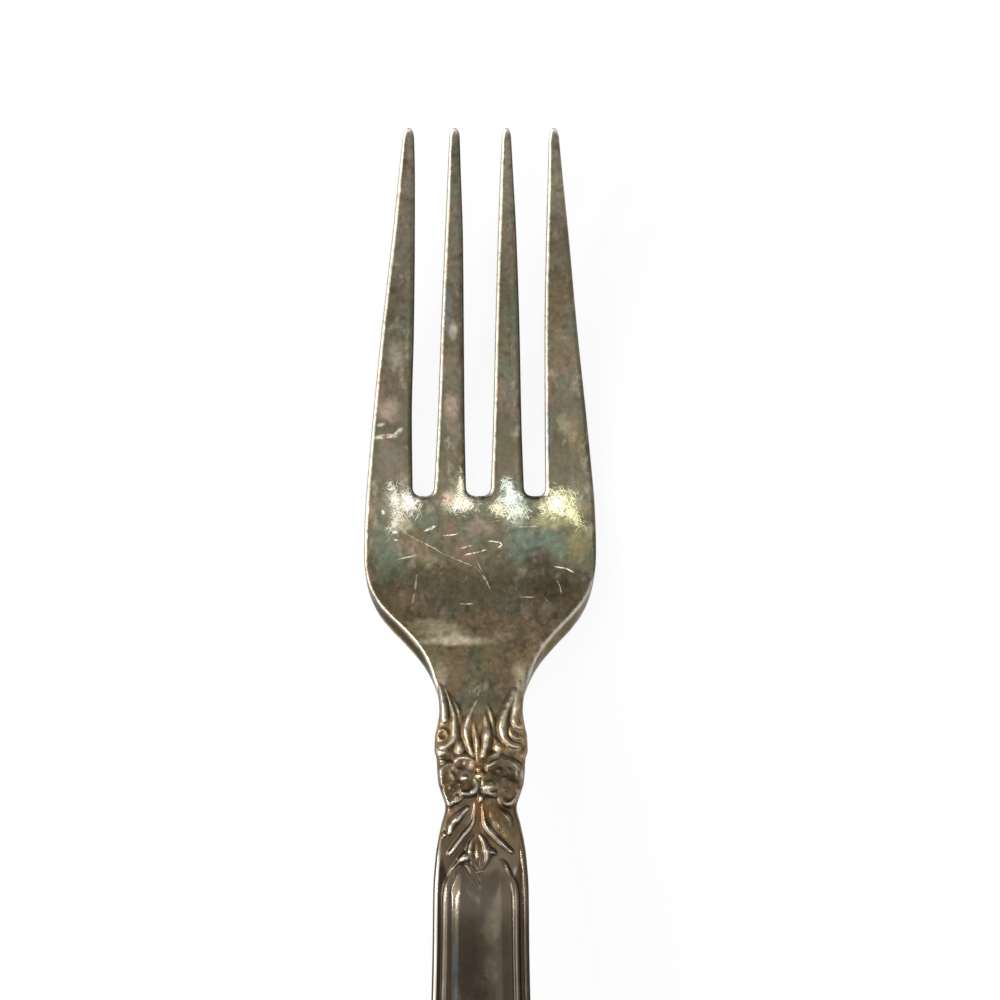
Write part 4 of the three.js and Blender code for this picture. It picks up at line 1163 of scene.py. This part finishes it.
def tarnished_silver_plate(name, stains_and_painted_light, root_highlights, scratches):
    """Silver plate, struck and once polished, then tarnished: a metal with olive, brown and teal clouds,
    fine mottling and hairline scratches. Its crests are bright with wear, its recesses dark with old tarnish.
    It carries painted highlights on the tine roots, tips and left edges, and painted shade on its flanks and
    the right tine edges."""
    material, tree = new_material(name)
    metres = add_node(tree, "ShaderNodeTexCoord").outputs["Object"]
    place = add_node(tree, "ShaderNodeVectorMath", {0: metres, 1: (1 / MM,) * 3}, operation="MULTIPLY")
    ragged = {}
    for edge, (size, reach) in RAGGED_EDGES.items():
        wander = add_node(tree, "ShaderNodeTexNoise", {
            "Vector": place, "Scale": 1 / size, "Detail": 5.0}).outputs["Color"]
        wander = add_node(tree, "ShaderNodeVectorMath", {
            0: wander, 1: (0.5, 0.5, 0.5)}, operation="SUBTRACT")
        ragged[edge] = add_node(tree, "ShaderNodeVectorMath", {
            0: wander, 1: (reach, reach, 0), 2: place}, operation="MULTIPLY_ADD")

    # The tarnish by station, then its clouds, the stain patches with painted highlights, reflections and
    # shade among them, and a fine mottle
    along = add_node(tree, "ShaderNodeSeparateXYZ", {"Vector": ragged["torn"]}).outputs["Y"]
    along = add_node(tree, "ShaderNodeMapRange", {
        "Value": along, "From Min": FORK_LENGTH / 2, "From Max": -FORK_LENGTH / 2})
    ramp = add_node(tree, "ShaderNodeValToRGB", {"Fac": along})
    stops = ramp.color_ramp.elements
    stops.remove(stops[1])
    stops[0].color = linear(TARNISH[0][1])
    for station, shade in TARNISH[1:]:
        stops.new(station / FORK_LENGTH).color = linear(shade)
    colour = ramp.outputs["Color"]
    drawn = add_node(tree, "ShaderNodeVectorMath", {0: place, 1: CLOUD_STRETCH}, operation="MULTIPLY")
    cloudy = add_node(tree, "ShaderNodeMapRange", {
        "Value": along, "From Min": CLOUD_FADE[0] / FORK_LENGTH, "From Max": CLOUD_FADE[1] / FORK_LENGTH,
        "To Min": 1.0, "To Max": CLOUD_SHARE}, interpolation_type="SMOOTHSTEP")
    for size, low, high, shade, strength in CLOUDS:
        cloud = add_node(tree, "ShaderNodeTexNoise", {
            "Vector": drawn, "Scale": 1 / size, "Detail": 4.0, "Roughness": 0.6}).outputs["Fac"]
        cover = add_node(tree, "ShaderNodeMapRange", {
            "Value": cloud, "From Min": low, "From Max": high, "To Max": strength},
            interpolation_type="SMOOTHSTEP")
        cover = add_node(tree, "ShaderNodeMath", {0: cover, 1: cloudy}, operation="MULTIPLY")
        colour = add_node(tree, "ShaderNodeMix", {
            0: cover, 6: colour, 7: linear(shade)}, data_type="RGBA").outputs[2]
    tears = add_node(tree, "ShaderNodeTexNoise", {
        "Vector": place, "Scale": 1 / TEAR_SIZE, "Detail": 4.0, "Roughness": 0.6}).outputs["Fac"]
    tears = add_node(tree, "ShaderNodeMapRange", {
        "Value": tears, "From Min": 0.38, "From Max": 0.58, "To Min": 0.55})
    for across, station, half_across, half_along, turn, shade, strength in stains_and_painted_light:
        edge = "fine" if min(half_across, half_along) <= FINE_BELOW else "torn"
        within = patch(tree, ragged[edge], across, station, STAIN_SPREAD * half_across,
                       STAIN_SPREAD * half_along, math.radians(turn))
        cover = add_node(tree, "ShaderNodeMapRange", {
            "Value": within, "From Min": 0.0, "From Max": 0.72, "To Max": strength},
            interpolation_type="SMOOTHSTEP")
        cover = add_node(tree, "ShaderNodeMath", {0: cover, 1: tears}, operation="MULTIPLY")
        colour = add_node(tree, "ShaderNodeMix", {
            0: cover, 6: colour, 7: linear(shade)}, data_type="RGBA").outputs[2]
    mottle = add_node(tree, "ShaderNodeTexNoise", {
        "Vector": place, "Scale": 1 / MOTTLE_SIZE, "Detail": 4.0, "Roughness": 0.65}).outputs["Fac"]
    mottled = add_node(tree, "ShaderNodeMapRange", {
        "Value": mottle, "From Min": 0.3, "From Max": 0.7, "To Min": 0.75, "To Max": 1.25})
    colour = add_node(tree, "ShaderNodeMix", {
        0: cloudy, 6: colour, 7: mottled}, data_type="RGBA", blend_type="MULTIPLY").outputs[2]

    # Hairline scratches in a few directions
    strokes = 0.0
    for turn in HAIRLINE_TURNS:
        stroke = add_node(tree, "ShaderNodeMapping", {
            "Vector": place, "Rotation": (0, 0, math.radians(turn)), "Scale": (*HAIRLINE_SIZE, FAR)},
            vector_type="TEXTURE")
        stroke = add_node(tree, "ShaderNodeTexNoise", {
            "Vector": stroke, "Scale": 1.0, "Detail": 1.0}).outputs["Fac"]
        strokes = add_node(tree, "ShaderNodeMath", {0: strokes, 1: stroke}, operation="MAXIMUM")
    hairlines = add_node(tree, "ShaderNodeMapRange", {"Value": strokes, "From Min": 0.7, "From Max": 0.8})

    # The painted root highlights are made of such strokes, dense in the middle and scattered at the edge
    dense = add_node(tree, "ShaderNodeMapRange", {"Value": strokes, "From Min": 0.49, "From Max": 0.75})
    root_highlight_cover = 0.0
    for across, station, half_across, half_along, turn, shade in root_highlights:
        within = patch(tree, ragged["fine"], across, station, ROOT_HIGHLIGHT_SPREAD * half_across,
                       ROOT_HIGHLIGHT_SPREAD * half_along, math.radians(turn))
        cover = add_node(tree, "ShaderNodeMath", {0: within, 1: 1.4, 2: dense}, operation="MULTIPLY_ADD")
        cover = add_node(tree, "ShaderNodeMapRange", {
            "Value": cover, "From Min": 1.0, "From Max": 1.75, "To Max": 0.9},
            interpolation_type="SMOOTHSTEP")
        colour = add_node(tree, "ShaderNodeMix", {
            0: cover, 6: colour, 7: linear(shade)}, data_type="RGBA").outputs[2]
        root_highlight_cover = add_node(tree, "ShaderNodeMath", {0: root_highlight_cover, 1: cover}, operation="MAXIMUM")

    # Single scratches, broken by the mottle
    cuts = 0.0
    for bends, half, strength in scratches:
        for (x1, s1), (x2, s2) in zip(bends, bends[1:]):
            half_length = math.hypot(x2 - x1, s2 - s1) / 2 + half
            within = patch(tree, ragged["fine"], (x1 + x2) / 2, (s1 + s2) / 2, STAIN_SPREAD * half_length,
                           STAIN_SPREAD * half, math.atan2(s1 - s2, x2 - x1))
            cover = add_node(tree, "ShaderNodeMapRange", {
                "Value": within, "From Min": 0.0, "From Max": 0.6, "To Max": strength},
                interpolation_type="SMOOTHSTEP")
            cuts = add_node(tree, "ShaderNodeMath", {0: cuts, 1: cover}, operation="MAXIMUM")
    broken = add_node(tree, "ShaderNodeMapRange", {
        "Value": mottle, "From Min": 0.38, "From Max": 0.54, "To Min": 0.1, "To Max": 1.0})
    cuts = add_node(tree, "ShaderNodeMath", {0: cuts, 1: broken}, operation="MULTIPLY")

    # Scratches, crests bright with wear and painted highlights are bright; recesses and painted shade are
    # dark
    # The mark of wear with painted highlights and painted shade
    wear_light_mark = add_node(tree, "ShaderNodeAttribute", attribute_name="rubbed").outputs["Fac"]
    patchy = add_node(tree, "ShaderNodeMapRange", {
        "Value": mottle, "From Min": 0.3, "From Max": 0.7, "To Min": -0.18, "To Max": 0.18})
    rubbed = add_node(tree, "ShaderNodeMath", {0: patchy, 1: cloudy, 2: wear_light_mark}, operation="MULTIPLY_ADD")
    bright = add_node(tree, "ShaderNodeMapRange", {
        "Value": rubbed, "From Min": 0.15, "From Max": 0.9, "To Max": 0.8},
        interpolation_type="SMOOTHSTEP")
    dark = add_node(tree, "ShaderNodeMapRange", {
        "Value": wear_light_mark, "From Min": -0.08, "From Max": -0.6, "To Max": 0.85},
        interpolation_type="SMOOTHSTEP")
    for cover, shade in ((cuts, SCRATCH_COLOUR), (bright, CREST_AND_HIGHLIGHT_COLOUR), (dark, RECESS_AND_SHADE_COLOUR)):
        colour = add_node(tree, "ShaderNodeMix", {
            0: cover, 6: colour, 7: linear(shade)}, data_type="RGBA").outputs[2]

    # Satin on the head, glossy down the handle, and smoother where it is marked bright and under the painted
    # root highlights
    roughness = add_node(tree, "ShaderNodeMapRange", {
        "Value": along, "From Min": GLOSS_RISE[0] / FORK_LENGTH, "From Max": GLOSS_RISE[1] / FORK_LENGTH,
        "To Min": SATIN, "To Max": GLOSSY}, interpolation_type="SMOOTHSTEP")
    uneven = add_node(tree, "ShaderNodeMapRange", {
        "Value": mottle, "From Min": 0.3, "From Max": 0.7, "To Min": -0.06, "To Max": 0.06})
    for amount, change in ((uneven, cloudy), (bright, -0.1), (root_highlight_cover, -0.08)):
        roughness = add_node(tree, "ShaderNodeMath", {
            0: amount, 1: change, 2: roughness}, operation="MULTIPLY_ADD")

    # Scratches cut in, over the faint waves of a hand-worn face
    waves = add_node(tree, "ShaderNodeTexNoise", {
        "Vector": place, "Scale": 1 / WAVE_SIZE, "Detail": 2.0}).outputs["Fac"]
    relief = add_node(tree, "ShaderNodeMath", {0: mottle, 1: 0.15, 2: waves}, operation="MULTIPLY_ADD")
    relief = add_node(tree, "ShaderNodeMath", {0: relief, 1: cloudy}, operation="MULTIPLY")
    depth = 0.0
    for amount, height in ((hairlines, -HAIRLINE_DEPTH), (cuts, -SCRATCH_DEPTH), (relief, WAVE_HEIGHT)):
        depth = add_node(tree, "ShaderNodeMath", {
            0: amount, 1: height, 2: depth}, operation="MULTIPLY_ADD")
    bump = add_node(tree, "ShaderNodeBump", {"Height": depth, "Strength": 1.0, "Distance": MM})
    shader = add_node(tree, "ShaderNodeBsdfPrincipled", {
        "Base Color": colour, "Metallic": 1.0, "Roughness": roughness, "Normal": bump})
    add_node(tree, "ShaderNodeOutputMaterial", {"Surface": shader})
    return material


# The stage

FLOOR_SIZE = 6
# The floor lies this far below the fork, so that their faces never share a plane
FLOOR_DROP = 0.00005
# How white the floor is to the camera, short of 1 so that a faint shadow stays
FLOOR_WHITENESS = 0.9
ROOM_LIGHT = 0.3
# Lamps, each with its place, what it points at, its width, length and brightness
LAMPS = (
    ("window", (-0.9, -0.15, 0.45), (0, 0, 0), 1.4, 0.6, 4.5),
    ("ceiling", (0, 0, 1.2), (0, 0, 0), 1.0, 2.6, 0.7),
    ("upper_window", (-0.73, 0.6, 0.75), (0, 0.02, 0.01), 0.45, 0.8, 1.6),
    ("key", (0, -0.13, 1.1), (0, 0.05, 0), 0.16, 0.12, 8.0),
    ("left_sky", (-0.78, 0.08, 0.75), (0, 0.02, 0.01), 0.55, 0.8, 0.8),
    ("first_bulb", (-0.73, 0.32, 0.62), (0, 0, 0.01), 0.016, 0.07, 210.0),
    ("second_bulb", (-0.51, 0.27, 0.83), (0, 0, 0.01), 0.016, 0.07, 210.0),
    ("third_bulb", (-0.77, 0.21, 0.62), (0, 0, 0.01), 0.016, 0.07, 210.0),
    ("fourth_bulb", (-0.57, 0.235, 0.81), (0, 0, 0.01), 0.016, 0.07, 210.0),
    ("right_lamp", (0.55, 0.1, 1.0), (0, 0.04, 0), 1.0, 1.0, 0.9),
    ("right_wall", (0.9, -0.15, 0.45), (0, 0, 0), 1.4, 0.6, 0.5),
)
SENSOR_WIDTH = 36
FRAME_DISTANCE = 600
FRAME_WIDTH = 108.7
CAMERA_PLACE = (0.00207, 0.05457, 0.613)
NEAREST_SEEN = 0.01


def stage():
    """A pale floor that is white to the camera with a faint shadow, plain studio lamps and the camera."""
    bpy.context.scene.view_settings.view_transform = "Standard"
    bpy.ops.mesh.primitive_plane_add(size=FLOOR_SIZE, location=(0, 0, -FLOOR_DROP))
    floor = bpy.context.object
    floor.name = "floor"
    material, tree = new_material("pale_paper")
    ray = add_node(tree, "ShaderNodeLightPath").outputs
    seen = add_node(tree, "ShaderNodeMath", {
        0: ray["Is Camera Ray"], 1: ray["Is Glossy Ray"]}, operation="ADD")
    seen = add_node(tree, "ShaderNodeMath", {
        0: seen, 1: ray["Is Transmission Ray"]}, operation="ADD", use_clamp=True)
    paper = add_node(tree, "ShaderNodeBsdfDiffuse", {"Color": linear("#e8e8e8")})
    glow = add_node(tree, "ShaderNodeEmission", {"Color": linear("#ffffff"), "Strength": 1.0})
    white = add_node(tree, "ShaderNodeMath", {0: seen, 1: FLOOR_WHITENESS}, operation="MULTIPLY")
    surface = add_node(tree, "ShaderNodeMixShader", {0: white, 1: paper, 2: glow})
    add_node(tree, "ShaderNodeOutputMaterial", {"Surface": surface})
    floor.data.materials.append(material)

    world = bpy.data.worlds.new("room")
    world.use_nodes = True
    room = world.node_tree.nodes["Background"].inputs
    room["Color"].default_value = linear("#ffffff")
    room["Strength"].default_value = ROOM_LIGHT
    bpy.context.scene.world = world

    for name, place, target, width, length, brightness in LAMPS:
        lamp = bpy.data.lights.new(name, "AREA")
        lamp.shape = "RECTANGLE"
        lamp.size = width
        lamp.size_y = length
        lamp.energy = math.pi * width * length * brightness
        holder = add_object(name, lamp)
        holder.location = place
        holder.rotation_euler = (Vector(target) - Vector(place)).to_track_quat("-Z", "Y").to_euler()

    camera = add_object("camera", bpy.data.cameras.new("camera"))
    camera.data.lens = SENSOR_WIDTH * FRAME_DISTANCE / FRAME_WIDTH
    camera.data.clip_start = NEAREST_SEEN
    camera.location = CAMERA_PLACE
    bpy.context.scene.camera = camera


stage()
head = head_and_tines()
neck = neck_blank()
handle = handle_blank()
head.data.materials.append(tarnished_silver_plate(
    "scratched_silver_plate", HEAD_STAINS_AND_PAINTED_LIGHT.values(), ROOT_HIGHLIGHTS.values(), SCRATCHES.values()))
strike_ornament(neck, tarnished_silver_plate("struck_silver_plate", NECK_STAINS_AND_PAINTED_LIGHT.values(), (), ()))
handle.data.materials.append(tarnished_silver_plate("glossy_silver_plate", HANDLE_STAINS_AND_PAINTED_LIGHT.values(), (), ()))
dressed = (
    (head, "head_silver",
     ("left_outer_tine", "left_inner_tine", "right_inner_tine", "right_outer_tine", "head")),
    (neck, "neck_silver", ("neck",)),
    (handle, "handle_silver", ("handle",)),
)
for piece, slot, nodes in dressed:
    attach(piece, "root")
    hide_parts(*nodes)
